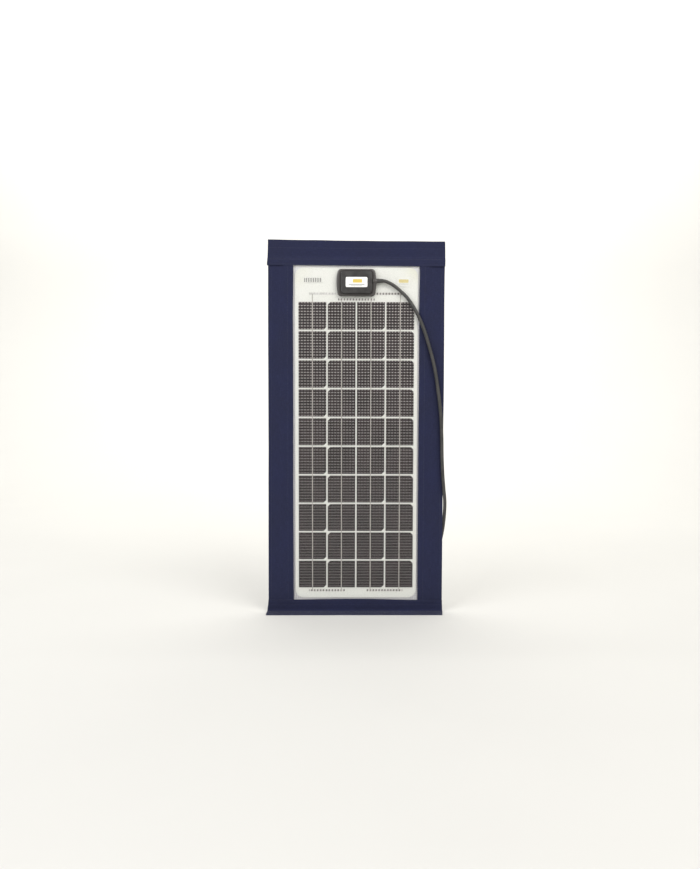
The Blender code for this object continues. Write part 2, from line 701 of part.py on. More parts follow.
def build_terminals(plastic, brass, rubber):
    """Terminal board, clamps, bypass diodes and the two cores of the cable."""
    top = BOX_Z + BOARD_HEIGHT
    low = (-BOARD_WIDTH / 2, FACE_Y + BOARD_FRONT, BOX_Z)
    block("terminal_board", low, (BOARD_WIDTH / 2, FACE_Y + BOARD_BACK, top), plastic)
    back = FACE_Y + TERMINAL_BACK
    for name, x in (("terminal_plus", -TERMINAL_X), ("terminal_minus", TERMINAL_X)):
        low = (x - TERMINAL.x / 2, back - TERMINAL.y, BOX_Z)
        block(name, low, (x + TERMINAL.x / 2, back, BOX_Z + TERMINAL.z), brass)
    z = top - DIODE_RADIUS - 2 * MM
    half = DIODE_LENGTH / 2
    end = half + LEAD_LENGTH
    profile = [
        (end, 0.0),
        (end, LEAD_RADIUS),
        (half, LEAD_RADIUS),
        (half, DIODE_RADIUS),
        (-half, DIODE_RADIUS),
        (-half, LEAD_RADIUS),
        (-end, LEAD_RADIUS),
        (-end, 0.0),
    ]
    for number, side in ((1, -1), (2, 1)):
        where = (side * DIODE_SPACING / 2, back - DIODE_RADIUS, z)
        turned(f"bypass_diode_{number}", profile, plastic, where)
    build_cores(rubber, back - TERMINAL.y / 2)


def build_cores(rubber, clamp):
    """The cable's two cores: one straight to the near clamp, one over the diodes to the far clamp."""
    start = GLAND_X
    height = FACE_Y + GLAND_DEPTH
    spread = CORE_RADIUS + GAP
    low, high = GLAND_Z - spread, GLAND_Z + spread
    near = TERMINAL_X + TERMINAL.x / 2 + GAP
    minus = [(start, height, low), ((start + near) / 2, height, low), (near, clamp, low)]
    crest = BOX_Z + CAVITY_HEIGHT / 2 - CORE_RADIUS - MM
    top = BOX_Z + TERMINAL.z + GAP
    plus = [
        (start, height, high),
        (start - 6.5 * MM, height, high),
        (start - 14 * MM, height, (high + crest) / 2),
        (start - 24 * MM, height, crest),
        (4 * MM - TERMINAL_X, (height + clamp) / 2, crest),
        (-TERMINAL_X, clamp, (top + crest) / 2 + MM),
        (-TERMINAL_X, clamp, top),
    ]
    for name, points in (("core_plus", plus), ("core_minus", minus)):
        tube(name, smooth_path([Vector(p) for p in points], 2.5 * MM), CORE_RADIUS, rubber, 2)


# Cable


def build_cable(rubber):
    """Gland, strain relief, the open stretch of cable, the spare cable's hank with its ties, and its tail."""
    axis = (0, FACE_Y + GLAND_DEPTH, GLAND_Z)
    gland = bored(GLAND_X, BOSS_END, CABLE_BORE + GLAND_WALL, CABLE_BORE)
    turned("cable_gland", gland, rubber, axis)
    start = BOSS_END + GAP
    end = start + RELIEF_LENGTH
    relief = [
        (end, CABLE_BORE),
        (end, CABLE_BORE + RELIEF_END_WALL),
        (start, CABLE_BORE + RELIEF_START_WALL),
        (start, CABLE_BORE),
    ]
    turned("strain_relief", relief, rubber, axis)
    points = [Vector(p) * MM for p in ROUTE]
    path = [points[0], *smooth_path(points[1:], POINT_SPACING, points[0])]
    tube("cable", path, CABLE_RADIUS, rubber)

    middle = (HANK_X, HANK_Y, HANK_FLOOR + HANK_HEIGHT / 2)
    outlines = [stadium(HANK_RUN, HANK_OUTER), stadium(HANK_RUN, HANK_BORE)]
    prism("cable_hank", outlines, HANK_HEIGHT, rubber, middle, None)
    near, far = HANK_BORE - GAP, HANK_OUTER + GAP
    low, high = HANK_FLOOR - GAP, HANK_FLOOR + HANK_HEIGHT + GAP
    outside = rectangle((near - TIE_DEPTH, low - TIE_DEPTH), (far + TIE_DEPTH, high + TIE_DEPTH))
    inside = rectangle((near, low), (far, high))
    for number, turn in ((1, 270), (2, 90)):
        spin = Matrix.Rotation(math.radians(turn), 4, "Z") @ ALONG_Y
        prism(f"hank_tie_{number}", [outside, inside], TIE_WIDTH, rubber, (HANK_X, HANK_Y, 0), spin)
    corner = Vector((TAIL_X, TAIL_Y, 0))
    tail = smooth_path([corner + Vector(p) * MM for p in TAIL], POINT_SPACING)
    tube("cable_tail", tail, CABLE_RADIUS, rubber)


def build_plug(plastic, rubber, brass, dark):
    """The round plug that lies beside the hank. Its ring turns on the shell's sleeve."""
    axis = (0, PLUG_Y, PLUG_RADIUS)
    boot = [
        (PLUG_X + BOOT_LENGTH, 0.0),
        (PLUG_X + BOOT_LENGTH, BOOT_END_RADIUS),
        (PLUG_X, BOOT_START_RADIUS),
        (PLUG_X, 0.0),
    ]
    turned("plug_boot", boot, rubber, axis)
    grip_start = SHELL_X + GRIP_START
    grip_end = grip_start + GRIP_LENGTH
    lip = SLEEVE_RADIUS + SLEEVE_LIP_RISE
    shell = [
        (SHELL_END - SOCKET_DEPTH, 0.0),
        (SHELL_END - SOCKET_DEPTH, SOCKET_RADIUS),
        (SHELL_END, SOCKET_RADIUS),
        (SHELL_END, lip),
        (SHELL_END - SLEEVE_LIP, lip),
        (SHELL_END - SLEEVE_LIP, SLEEVE_RADIUS),
        (SLEEVE_X, SLEEVE_RADIUS),
        (SLEEVE_X, RING_RADIUS),
        (grip_end, RING_RADIUS),
        (grip_end, PLUG_RADIUS),
        (grip_start, PLUG_RADIUS),
        (grip_start, SHELL_SHOULDER_RADIUS),
        (SHELL_X, SHELL_REAR_RADIUS),
        (SHELL_X, 0.0),
    ]
    turned("plug_shell", shell, plastic, axis)
    spin = pivot("ring_turn", (SLEEVE_X, *axis[1:]))
    ring = bored(
        SLEEVE_X + RING_CLEARANCE,
        SHELL_END - SLEEVE_LIP - RING_CLEARANCE,
        RING_RADIUS,
        SLEEVE_RADIUS + RING_CLEARANCE,
    )
    turned("plug_ring", ring, dark, axis, spin)
    floor = SHELL_END - SOCKET_DEPTH + GAP
    insert = turned("plug_insert", solid(floor, floor + INSERT_LENGTH, SOCKET_RADIUS - GAP), plastic, axis)
    for name, side in (("plug_pin_plus", 1), ("plug_pin_minus", -1)):
        where = (0, axis[1] + side * PIN_OFFSET, axis[2])
        hole = solid(floor - MM, floor + INSERT_LENGTH + MM, PIN_RADIUS + GAP)
        cut(insert, turned(f"{name}_hole", hole, plastic, where))
        turned(name, solid(floor + GAP, floor + GAP + PIN_LENGTH, PIN_RADIUS), brass, where)
    seal_at = floor + INSERT_LENGTH + GAP
    outer = SOCKET_RADIUS - GAP
    turned("plug_seal", bored(seal_at, seal_at + SEAL_LENGTH, outer, outer - SEAL_WALL), rubber, axis)


def build():
    canvas = finish("navy canvas", (0.03, 0.035, 0.09), 0.9)
    clear = finish("clear film", (0.9, 0.9, 0.9), 0.2, alpha=0.3)
    white = finish("white film", (0.86, 0.86, 0.84), 0.5)
    grey = finish("grey film", (0.55, 0.53, 0.56), 0.5)
    silicon = finish("silicon", (0.06, 0.05, 0.05), 0.3)
    tinned = finish("tinned copper", (0.6, 0.57, 0.55), 0.35, 1.0)
    aluminium = finish("aluminium", (0.7, 0.7, 0.7), 0.4, 1.0)
    plastic = finish("black plastic", (0.045, 0.043, 0.042), 0.5)
    dark = finish("ring plastic", (0.03, 0.03, 0.03), 0.45)
    rubber = finish("black rubber", (0.04, 0.038, 0.036), 0.7)
    paper = finish("white paper", (0.85, 0.85, 0.83), 0.6)
    brass = finish("brass", (0.75, 0.6, 0.3), 0.3, 1.0)

    build_canvas(canvas)
    build_margins(canvas)
    build_sheets(clear, white, aluminium, grey)
    build_strings(silicon)
    build_buses(tinned)
    build_slips(paper)
    build_box(plastic, rubber, paper)
    build_terminals(plastic, brass, rubber)
    build_cable(rubber)
    build_plug(plastic, rubber, brass, dark)
    for obj in PANEL.objects:
        if obj.type == "MESH":
            obj.data.shade_smooth()
            obj.data.set_sharp_from_angle(angle=math.radians(30))


clear_scene()
PANEL = make_collection("marine_solar_panel")
CUTTERS = make_collection("cutters")
build()
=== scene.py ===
import json
import logging
import math
from dataclasses import dataclass, field
from enum import Enum
from functools import partial
from typing import Any, Callable, Iterable, Sequence

import bmesh
import bpy
from mathutils import Matrix, Vector

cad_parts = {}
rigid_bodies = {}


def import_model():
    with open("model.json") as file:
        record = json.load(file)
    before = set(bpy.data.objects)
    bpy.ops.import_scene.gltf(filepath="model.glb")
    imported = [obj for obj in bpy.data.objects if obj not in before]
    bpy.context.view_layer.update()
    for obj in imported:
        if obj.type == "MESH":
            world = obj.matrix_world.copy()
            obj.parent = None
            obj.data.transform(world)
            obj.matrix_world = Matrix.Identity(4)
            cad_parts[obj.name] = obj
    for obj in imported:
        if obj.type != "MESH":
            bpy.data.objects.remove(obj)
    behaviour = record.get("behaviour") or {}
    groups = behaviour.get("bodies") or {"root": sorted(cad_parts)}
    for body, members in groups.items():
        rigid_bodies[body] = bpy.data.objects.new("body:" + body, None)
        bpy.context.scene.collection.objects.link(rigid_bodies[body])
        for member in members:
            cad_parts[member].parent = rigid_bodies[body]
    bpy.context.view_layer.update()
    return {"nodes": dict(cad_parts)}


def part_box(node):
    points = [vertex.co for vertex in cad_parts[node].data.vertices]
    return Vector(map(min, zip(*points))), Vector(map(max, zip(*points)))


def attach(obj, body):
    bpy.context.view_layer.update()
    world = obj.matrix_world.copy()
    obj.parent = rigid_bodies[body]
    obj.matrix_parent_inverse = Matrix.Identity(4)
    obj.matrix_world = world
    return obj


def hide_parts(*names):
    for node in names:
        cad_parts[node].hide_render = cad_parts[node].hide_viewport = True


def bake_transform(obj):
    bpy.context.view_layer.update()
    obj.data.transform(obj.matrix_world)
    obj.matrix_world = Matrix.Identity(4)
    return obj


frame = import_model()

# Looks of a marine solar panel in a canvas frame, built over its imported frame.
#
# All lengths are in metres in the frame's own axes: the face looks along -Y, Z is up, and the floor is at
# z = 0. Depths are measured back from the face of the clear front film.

MM = 0.001
PRINT_DEPTH = 0.03 * MM
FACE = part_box("front_film")[0].y
LOG = logging.getLogger("panel")

Point = tuple[float, float, float]
Knots = tuple[tuple[float, float], ...]
Outline = Sequence[tuple[float, float]]
Colour = tuple[float, float, float]
Piece = bpy.types.Object
Material = bpy.types.Material


# Numbers and curves


def smooth(t: float) -> float:
    """Ease from 0 to 1 with flat ends."""
    t = min(1.0, max(0.0, t))
    return t * t * (3 - 2 * t)


def along(knots: Knots, at: float) -> float:
    """Read a curve given by knots in rising order, eased between neighbours.

    Args:
        knots: Pairs of a place and the value there.
        at: Where to read.

    Returns:
        The value at that place, held flat past both ends.
    """
    if at <= knots[0][0]:
        return knots[0][1]
    for (x0, y0), (x1, y1) in zip(knots, knots[1:]):
        if at <= x1:
            return y0 + (y1 - y0) * smooth((at - x0) / (x1 - x0))
    return knots[-1][1]


def ripple(x: float, y: float, seed: float = 0.0) -> float:
    """A smooth uneven field between about -1 and 1.

    Args:
        x: First coordinate, in metres.
        y: Second coordinate, in metres.
        seed: Shifts the field, so that pieces differ.

    Returns:
        The height of the field there.
    """
    a = math.sin(41 * x + 17 * y + 1.7 * seed) + math.sin(-23 * x + 37 * y + 2.9 * seed)
    b = math.sin(83 * x - 61 * y + 0.6 * seed) + math.sin(11 * x + 9 * y + 4.3 * seed)
    return (a + 0.5 * b + 0.6 * math.sin(7 * y + seed)) / 3.2


def swell(x: float, y: float, seed: float) -> float:
    """The same field between about 0 and 1."""
    return 0.5 + 0.5 * ripple(x, y, seed)


def shade(colour: Colour, share: float) -> Colour:
    """A colour made darker or paler by a factor."""
    return tuple(share * c for c in colour)


def through(points: Sequence[Vector], step: float) -> list[Vector]:
    """Points about a step apart on the smooth curve through the given ones.

    Args:
        points: The curve's own points.
        step: The spacing wanted, in metres.

    Returns:
        The points in order, both ends included.
    """
    line = [2 * points[0] - points[1], *points, 2 * points[-1] - points[-2]]
    dense: list[Vector] = []
    for p0, p1, p2, p3 in zip(line, line[1:], line[2:], line[3:]):
        for i in range(24):
            t = i / 24
            bend = (2 * p0 - 5 * p1 + 4 * p2 - p3) * t * t + (3 * p1 - p0 - 3 * p2 + p3) * t**3
            dense.append((2 * p1 + (p2 - p0) * t + bend) / 2)
    dense.append(points[-1].copy())
    length = sum((b - a).length for a, b in zip(dense, dense[1:]))
    count = max(2, round(length / step))
    found, walked, target = [dense[0]], 0.0, length / count
    for a, b in zip(dense, dense[1:]):
        gap = (b - a).length
        while walked + gap >= target and len(found) < count:
            found.append(a.lerp(b, (target - walked) / gap))
            target += length / count
        walked += gap
    found.append(dense[-1])
    return found


# Shader graphs


class Graph:
    """A material's node tree, with short ways to add nodes and join them."""

    def __init__(self, name: str) -> None:
        """Start an empty material of that name."""
        self.material = bpy.data.materials.new(name)
        self.material.use_nodes = True
        self.tree = self.material.node_tree
        self.tree.nodes.clear()
        self.end = self.add("ShaderNodeOutputMaterial")

    def feed(self, socket: Any, value: Any) -> None:
        """Link a socket to an input, or set the input's own value."""
        if isinstance(value, bpy.types.NodeSocket):
            self.tree.links.new(value, socket)
        elif isinstance(value, tuple) and len(value) == 3 and len(socket.default_value) == 4:
            socket.default_value = (*value, 1.0)
        else:
            socket.default_value = value

    def add(self, kind: str, props: dict[str, Any] | None = None, **inputs: Any) -> Any:
        """Add a node.

        Args:
            kind: The node's type.
            props: Settings of the node itself.
            **inputs: Values or sockets for its inputs, with _ for a space.

        Returns:
            The node.
        """
        node = self.tree.nodes.new(kind)
        for key, value in (props or {}).items():
            setattr(node, key, value)
        for key, value in inputs.items():
            self.feed(node.inputs[key.replace("_", " ")], value)
        return node

    def place(self) -> Any:
        """The piece's own coordinates, in metres."""
        return self.add("ShaderNodeTexCoord").outputs["Object"]

    def cloth(self) -> Any:
        """Coordinates along and across the cloth, in metres."""
        return self.add("ShaderNodeUVMap", {"uv_map": "cloth"}).outputs["UV"]

    def mark(self, name: str) -> Any:
        """A number stored on the mesh's points under that name."""
        return self.add("ShaderNodeAttribute", {"attribute_name": name}).outputs["Fac"]

    def parts(self, vector: Any) -> tuple[Any, Any, Any]:
        """The three components of a vector."""
        split = self.add("ShaderNodeSeparateXYZ", Vector=vector).outputs
        return split["X"], split["Y"], split["Z"]

    def sum(self, operation: str, *values: Any) -> Any:
        """One arithmetic step.

        Args:
            operation: The Math node's operation.
            *values: Its operands, numbers or sockets.

        Returns:
            The result's socket.
        """
        node = self.add("ShaderNodeMath", {"operation": operation})
        for i, value in enumerate(values):
            self.feed(node.inputs[i], value)
        return node.outputs[0]

    def times(self, first: Any, second: Any) -> Any:
        """The product of two values."""
        return self.sum("MULTIPLY", first, second)

    def wave(self, value: Any, period: float) -> Any:
        """The cosine of a length that turns once in a period, in metres."""
        return self.sum("COSINE", self.times(value, 2 * math.pi / period))

    def share(self, value: Any) -> Any:
        """A value between -1 and 1 moved to between 0 and 1."""
        return self.sum("MULTIPLY_ADD", value, 0.5, 0.5)

    def stretch(self, vector: Any, x: float, y: float, z: float) -> Any:
        """A vector scaled by axis."""
        return self.add("ShaderNodeMapping", Vector=vector, Scale=Vector((x, y, z))).outputs["Vector"]

    def noise(self, vector: Any, scale: float, detail: float = 3.0, rough: float = 0.5) -> Any:
        """Cloudy noise between 0 and 1, with scale features to the metre."""
        node = self.add("ShaderNodeTexNoise", Vector=vector, Scale=scale, Detail=detail, Roughness=rough)
        return node.outputs["Fac"]

    def band(self, value: Any, low: float, high: float, to_low: float = 0.0, to_high: float = 1.0) -> Any:
        """A value mapped from one range to another, eased and held at both ends.

        Args:
            value: The socket to map.
            low: The start of its range.
            high: The end of its range.
            to_low: The result at low.
            to_high: The result at high.

        Returns:
            The mapped value's socket.
        """
        node = self.add("ShaderNodeMapRange", {"interpolation_type": "SMOOTHSTEP"}, Value=value)
        for key, number in (("From Min", low), ("From Max", high), ("To Min", to_low), ("To Max", to_high)):
            node.inputs[key].default_value = number
        return node.outputs["Result"]

    def blend(self, share: Any, first: Any, second: Any) -> Any:
        """A colour between two others."""
        node = self.add("ShaderNodeMix", {"data_type": "RGBA"})
        for i, value in ((0, share), (6, first), (7, second)):
            self.feed(node.inputs[i], value)
        return node.outputs[2]

    def bump(self, height: Any, depth: float, under: Any = None) -> Any:
        """A normal tilted by a height field.

        Args:
            height: The field, between 0 and 1.
            depth: The height of its full range, in metres.
            under: A normal to build on.

        Returns:
            The normal's socket.
        """
        node = self.add("ShaderNodeBump", Strength=1.0, Distance=depth, Height=height)
        if under is not None:
            self.feed(node.inputs["Normal"], under)
        return node.outputs["Normal"]

    def show(self, shader: Any) -> Material:
        """Make a shader the material's surface and return the material."""
        self.feed(self.end.inputs["Surface"], shader)
        return self.material

    def surface(self, **inputs: Any) -> Material:
        """Show the main shader with these inputs and return the material."""
        return self.show(self.add("ShaderNodeBsdfPrincipled", **inputs).outputs[0])


# Finishes


@dataclass(frozen=True)
class Finish:
    """A finish that pieces share. Each kind says how its surface is painted."""

    name: str

    def material(self) -> Material:
        """The finish's material, made once."""
        return bpy.data.materials.get(self.name) or self.paint(Graph(self.name))

    def paint(self, g: Graph) -> Material:
        """Build the node tree."""
        raise NotImplementedError


@dataclass(frozen=True)
class Canvas(Finish):
    """Solution-dyed acrylic canvas in a plain weave, paler where folds rub."""

    base: Colour = (0.0150, 0.0178, 0.0500)
    worn: Colour = (0.042, 0.046, 0.090)
    thread: float = 0.55 * MM

    def paint(self, g: Graph) -> Material:
        """Build the weave, its slubs, the faint creases and the rubbed folds."""
        cloth = g.cloth()
        u, v, _ = g.parts(cloth)
        weave = g.share(g.times(g.wave(u, self.thread), g.wave(v, self.thread)))
        slub = g.noise(g.stretch(cloth, 1.0, 14.0, 1.0), 90.0, 4.0)
        slub_across = g.noise(g.stretch(cloth, 14.0, 1.0, 1.0), 80.0, 4.0)
        cloud = g.noise(cloth, 9.0, 4.0)
        crease = g.noise(g.stretch(cloth, 0.6, 1.6, 1.0), 26.0, 5.0, 0.55)
        tone = g.sum("ADD", g.times(slub, 0.5), g.times(slub_across, 0.5))
        tone = g.sum("ADD", g.times(tone, 0.65), g.times(cloud, 0.35))
        dark = shade(self.base, 0.72)
        colour = g.blend(g.band(tone, 0.35, 0.65), dark, shade(self.base, 1.30))
        colour = g.blend(g.times(g.sum("SUBTRACT", 1.0, weave), 0.45), colour, dark)
        wear = g.times(g.mark("wear"), g.band(slub, 0.35, 0.62, 0.25, 1.0))
        colour = g.blend(g.times(wear, 0.6), colour, self.worn)
        normal = g.bump(crease, 1.1 * MM)
        normal = g.bump(slub, 0.10 * MM, normal)
        normal = g.bump(weave, 0.14 * MM, normal)
        return g.surface(
            Base_Color=colour,
            Roughness=g.band(cloud, 0.3, 0.7, 0.78, 0.92),
            Normal=normal,
            Sheen_Weight=0.06,
            Sheen_Roughness=0.45,
            Specular_IOR_Level=0.22,
        )


@dataclass(frozen=True)
class Thread(Finish):
    """Twisted polyester sewing thread."""

    base: Colour = (0.016, 0.019, 0.050)
    twist: float = 0.5 * MM

    def paint(self, g: Graph) -> Material:
        """Build the twist of the plies."""
        x, y, z = g.parts(g.place())
        lay = g.sum("ADD", g.sum("ADD", x, z), g.times(y, 2.0))
        twist = g.share(g.sum("SINE", g.times(lay, 2 * math.pi / self.twist)))
        lint = g.noise(g.place(), 160.0)
        colour = g.blend(twist, shade(self.base, 0.6), shade(self.base, 1.35))
        colour = g.blend(g.times(lint, 0.3), colour, self.base)
        return g.surface(
            Base_Color=colour,
            Roughness=g.band(lint, 0.3, 0.7, 0.5, 0.7),
            Normal=g.bump(twist, 0.06 * MM),
            Sheen_Weight=0.1,
        )


@dataclass(frozen=True)
class Backing(Finish):
    """White laminate field behind the cells, with the fine emboss that the press leaves."""

    base: Colour = (0.86, 0.865, 0.83)
    tint: Colour = (0.80, 0.80, 0.70)

    def paint(self, g: Graph) -> Material:
        """Build the embossed grain and the faint yellowing towards the corners."""
        place = g.place()
        x, _, z = g.parts(place)
        grain = g.add("ShaderNodeTexVoronoi", {"feature": "F1"}, Vector=place, Scale=420.0)
        grain = grain.outputs["Distance"]
        cloud = g.noise(place, 14.0, 3.0)
        fine = g.noise(place, 300.0, 2.0)
        side = g.band(g.sum("ABSOLUTE", x), 90 * MM, 138 * MM)
        top = g.band(z, 0.735, 0.79)
        yellow = g.times(g.times(side, top), g.band(cloud, 0.3, 0.6, 0.3, 0.9))
        colour = g.blend(yellow, self.base, self.tint)
        colour = g.blend(g.band(fine, 0.35, 0.7, 0.0, 0.14), colour, (0.62, 0.62, 0.58))
        normal = g.bump(grain, 0.10 * MM)
        return g.surface(
            Base_Color=colour,
            Roughness=g.band(cloud, 0.3, 0.7, 0.42, 0.55),
            Normal=g.bump(cloud, 0.5 * MM, normal),
            Specular_IOR_Level=0.35,
        )


@dataclass(frozen=True)
class ClearFilm(Finish):
    """Clear fluoropolymer front film, embossed and slightly uneven."""

    haze: Colour = (0.72, 0.72, 0.76)

    def paint(self, g: Graph) -> Material:
        """Build a see-through sheet that shines by its angle and hazes a little at its edge."""
        place = g.place()
        cells = g.add("ShaderNodeTexVoronoi", {"feature": "F1"}, Vector=place, Scale=330.0)
        cells = cells.outputs["Distance"]
        wave = g.noise(place, 22.0, 2.0)
        normal = g.bump(wave, 0.6 * MM, g.bump(cells, 0.05 * MM))
        rough = g.band(wave, 0.3, 0.7, 0.10, 0.22)
        gloss = g.add("ShaderNodeBsdfGlossy", Color=(0.9, 0.9, 0.92), Roughness=rough, Normal=normal)
        clear = g.add("ShaderNodeBsdfTransparent", Color=(0.985, 0.985, 0.98))
        milk = g.add("ShaderNodeBsdfDiffuse", Color=self.haze, Normal=normal)
        facing = g.add("ShaderNodeFresnel", IOR=1.38, Normal=normal).outputs[0]
        share = g.times(facing, 0.5)
        film = g.add("ShaderNodeMixShader", Fac=share)
        g.feed(film.inputs[1], clear.outputs[0])
        g.feed(film.inputs[2], gloss.outputs[0])
        hazed = g.add("ShaderNodeMixShader", Fac=g.band(cells, 0.0, 0.5, 0.004, 0.012))
        g.feed(hazed.inputs[1], film.outputs[0])
        g.feed(hazed.inputs[2], milk.outputs[0])
        return g.show(hazed.outputs[0])


@dataclass(frozen=True)
class GreyFilm(Finish):
    """Greyish rear film over woven scrim, which shows round the white field's corners."""

    base: Colour = (0.70, 0.69, 0.72)
    scrim: Colour = (0.20, 0.19, 0.25)
    mesh: float = 4.6 * MM

    def paint(self, g: Graph) -> Material:
        """Build the open scrim that is laminated into the film."""
        x, y, z = g.parts(g.place())
        lines = []
        for value in (x, z):
            lines.append(g.band(g.wave(value, self.mesh), -0.3, 0.6))
        inside = g.band(y, FACE + 3.75 * MM, FACE + 3.95 * MM, 1.0, 0.12)
        scrim = g.times(g.times(*lines), inside)
        cloud = g.noise(g.place(), 18.0)
        colour = g.blend(g.times(scrim, 0.9), self.base, self.scrim)
        colour = g.blend(g.band(cloud, 0.3, 0.7, 0.0, 0.25), colour, (0.80, 0.80, 0.81))
        paler = g.times(g.band(z, 0.15, 0.70, 0.0, 0.8), g.band(inside, 0.2, 0.9))
        colour = g.blend(paler, colour, (0.84, 0.84, 0.85))
        return g.surface(
            Base_Color=colour,
            Roughness=g.band(cloud, 0.3, 0.7, 0.35, 0.5),
            Normal=g.bump(scrim, 0.12 * MM),
        )


@dataclass(frozen=True)
class Silicon(Finish):
    """Single-crystal silicon with screen-printed silver fingers, and a grid of painted glints that stand in
    for light caught by the front film's emboss.
    """

    top_edge: float
    dark: Colour = (0.012, 0.007, 0.008)
    brown: Colour = (0.023, 0.014, 0.016)
    # The fingers' own silver, also used as the colour of the painted glints.
    silver: Colour = (0.62, 0.57, 0.55)
    across: float = 6.9 * MM
    down: float = 6.6 * MM
    fingers: float = 2.2 * MM

    def painted_glints(self, g: Graph, x: Any, z: Any) -> Any:
        """Painted glints: pale spots where two line grids meet and faint pale lines along one of them, fading
        from the top row down.

        Args:
            g: The material's graph.
            x: Place across, in metres.
            z: Height, in metres.

        Returns:
            A value between 0 and 1.
        """
        wide, high = g.wave(x, self.across), g.wave(z, self.down)
        spot = g.times(g.band(wide, 0.05, 0.80), g.band(high, 0.10, 0.85))
        fade = g.band(z, 0.05, self.top_edge, 0.10, 1.0)
        line = g.band(high, 0.3, 1.0, 0.0, 0.20)
        return g.sum("MAXIMUM", g.times(spot, fade), line)

    def paint(self, g: Graph) -> Material:
        """Build the crystal's uneven blue-brown, the fingers and the painted glints."""
        place = g.place()
        x, _, z = g.parts(place)
        finger = g.band(g.wave(z, self.fingers), 0.80, 1.0)
        cloud = g.noise(place, 24.0, 3.0)
        grain = g.noise(place, 900.0, 2.0)
        colour = g.blend(g.band(cloud, 0.35, 0.65), self.dark, self.brown)
        colour = g.blend(g.times(finger, 0.05), colour, self.silver)
        # Painted highlight: the glint grid lays silver over the crystal, strongest in the top row.
        glint_mask = g.times(self.painted_glints(g, x, z), g.band(grain, 0.2, 0.7, 0.65, 1.0))
        colour = g.blend(glint_mask, colour, self.silver)
        return g.surface(
            Base_Color=colour,
            Roughness=g.band(grain, 0.3, 0.7, 0.30, 0.42),
            Normal=g.bump(finger, 0.03 * MM, g.bump(grain, 0.01 * MM)),
            Specular_IOR_Level=0.2,
        )


@dataclass(frozen=True)
class TinnedCopper(Finish):
    """Solder-dipped copper ribbon, with a crimp at an even pitch where it is a bus."""

    base: Colour = (0.86, 0.83, 0.80)
    crimp: float = 0.0
    # Colour of the painted shade in the crimps' valleys.
    crimp_shade: Colour = (0.07, 0.065, 0.065)

    def paint(self, g: Graph) -> Material:
        """Build the uneven solder, its dull oxide and the crimps' shade."""
        place = g.place()
        flow = g.noise(place, 120.0, 4.0, 0.6)
        oxide = g.noise(place, 35.0, 3.0)
        colour = g.blend(g.band(flow, 0.3, 0.7), shade(self.base, 0.75), self.base)
        colour = g.blend(g.band(oxide, 0.45, 0.75, 0.0, 0.5), colour, (0.36, 0.34, 0.32))
        if self.crimp:
            wave = g.wave(g.parts(place)[0], self.crimp)
            # Painted shade: the crimps' valleys are darkened at the crimp pitch.
            colour = g.blend(g.band(wave, -0.2, 0.7, 0.0, 0.85), colour, self.crimp_shade)
        return g.surface(
            Base_Color=colour,
            Metallic=0.25,
            Roughness=g.band(flow, 0.3, 0.7, 0.32, 0.55),
            Normal=g.bump(flow, 0.15 * MM),
        )


@dataclass(frozen=True)
class Moulded(Finish):
    """Moulded plastic with spark-eroded grain, a little dusty, rubbed paler at its edges."""

    base: Colour = (0.030, 0.029, 0.028)
    grain: float = 0.05 * MM
    rough: float = 0.42
    worn: Colour = (0.10, 0.10, 0.095)
    coat: float = 0.0

    def paint(self, g: Graph) -> Material:
        """Build the grain, the dust and the rubbed edges."""
        place = g.place()
        speck = g.noise(place, 1500.0, 2.0)
        dust = g.noise(place, 60.0, 5.0, 0.6)
        geometry = g.add("ShaderNodeNewGeometry").outputs["Pointiness"]
        edge = g.band(geometry, 0.52, 0.60)
        colour = g.blend(g.band(dust, 0.4, 0.75, 0.0, 0.25), self.base, self.worn)
        colour = g.blend(g.times(edge, 0.5), colour, self.worn)
        return g.surface(
            Base_Color=colour,
            Roughness=g.band(dust, 0.3, 0.7, self.rough - 0.06, self.rough + 0.10),
            Normal=g.bump(speck, self.grain),
            Coat_Weight=self.coat,
        )


@dataclass(frozen=True)
class Jacket(Finish):
    """Rubber cable jacket with faint draw lines and a matt bloom."""

    base: Colour = (0.024, 0.023, 0.022)

    def paint(self, g: Graph) -> Material:
        """Build the bloom, the draw marks and the handling shine."""
        place = g.place()
        bloom = g.noise(place, 40.0, 5.0, 0.6)
        fine = g.noise(place, 700.0, 3.0)
        colour = g.blend(g.band(bloom, 0.35, 0.7, 0.0, 0.45), self.base, (0.070, 0.068, 0.064))
        return g.surface(
            Base_Color=colour,
            Roughness=g.band(bloom, 0.3, 0.7, 0.38, 0.58),
            Normal=g.bump(fine, 0.05 * MM),
            Specular_IOR_Level=0.55,
        )


@dataclass(frozen=True)
class Strap(Finish):
    """Woven hook-and-loop strap."""

    base: Colour = (0.020, 0.020, 0.022)
    rib: float = 0.9 * MM

    def paint(self, g: Graph) -> Material:
        """Build a ribbed weave with a fuzzy face."""
        rib = g.share(g.wave(g.parts(g.place())[1], self.rib))
        fuzz = g.noise(g.place(), 1100.0, 4.0, 0.7)
        colour = g.blend(rib, shade(self.base, 0.5), self.base)
        colour = g.blend(g.band(fuzz, 0.45, 0.8, 0.0, 0.5), colour, (0.07, 0.07, 0.075))
        return g.surface(
            Base_Color=colour,
            Roughness=g.band(fuzz, 0.3, 0.7, 0.8, 0.95),
            Normal=g.bump(fuzz, 0.2 * MM, g.bump(rib, 0.15 * MM)),
            Sheen_Weight=0.3,
        )


@dataclass(frozen=True)
class Paper(Finish):
    """Laminated paper or printed film, with a soft satin face."""

    base: Colour = (0.88, 0.885, 0.86)
    fleck: Colour = (0.76, 0.76, 0.72)

    def paint(self, g: Graph) -> Material:
        """Build the fibres and the lacquer."""
        fibre = g.noise(g.stretch(g.place(), 1.0, 1.0, 3.0), 480.0, 4.0)
        cloud = g.noise(g.place(), 70.0)
        colour = g.blend(g.band(fibre, 0.45, 0.75, 0.0, 0.35), self.base, self.fleck)
        return g.surface(
            Base_Color=colour,
            Roughness=g.band(cloud, 0.3, 0.7, 0.32, 0.46),
            Normal=g.bump(fibre, 0.02 * MM),
        )


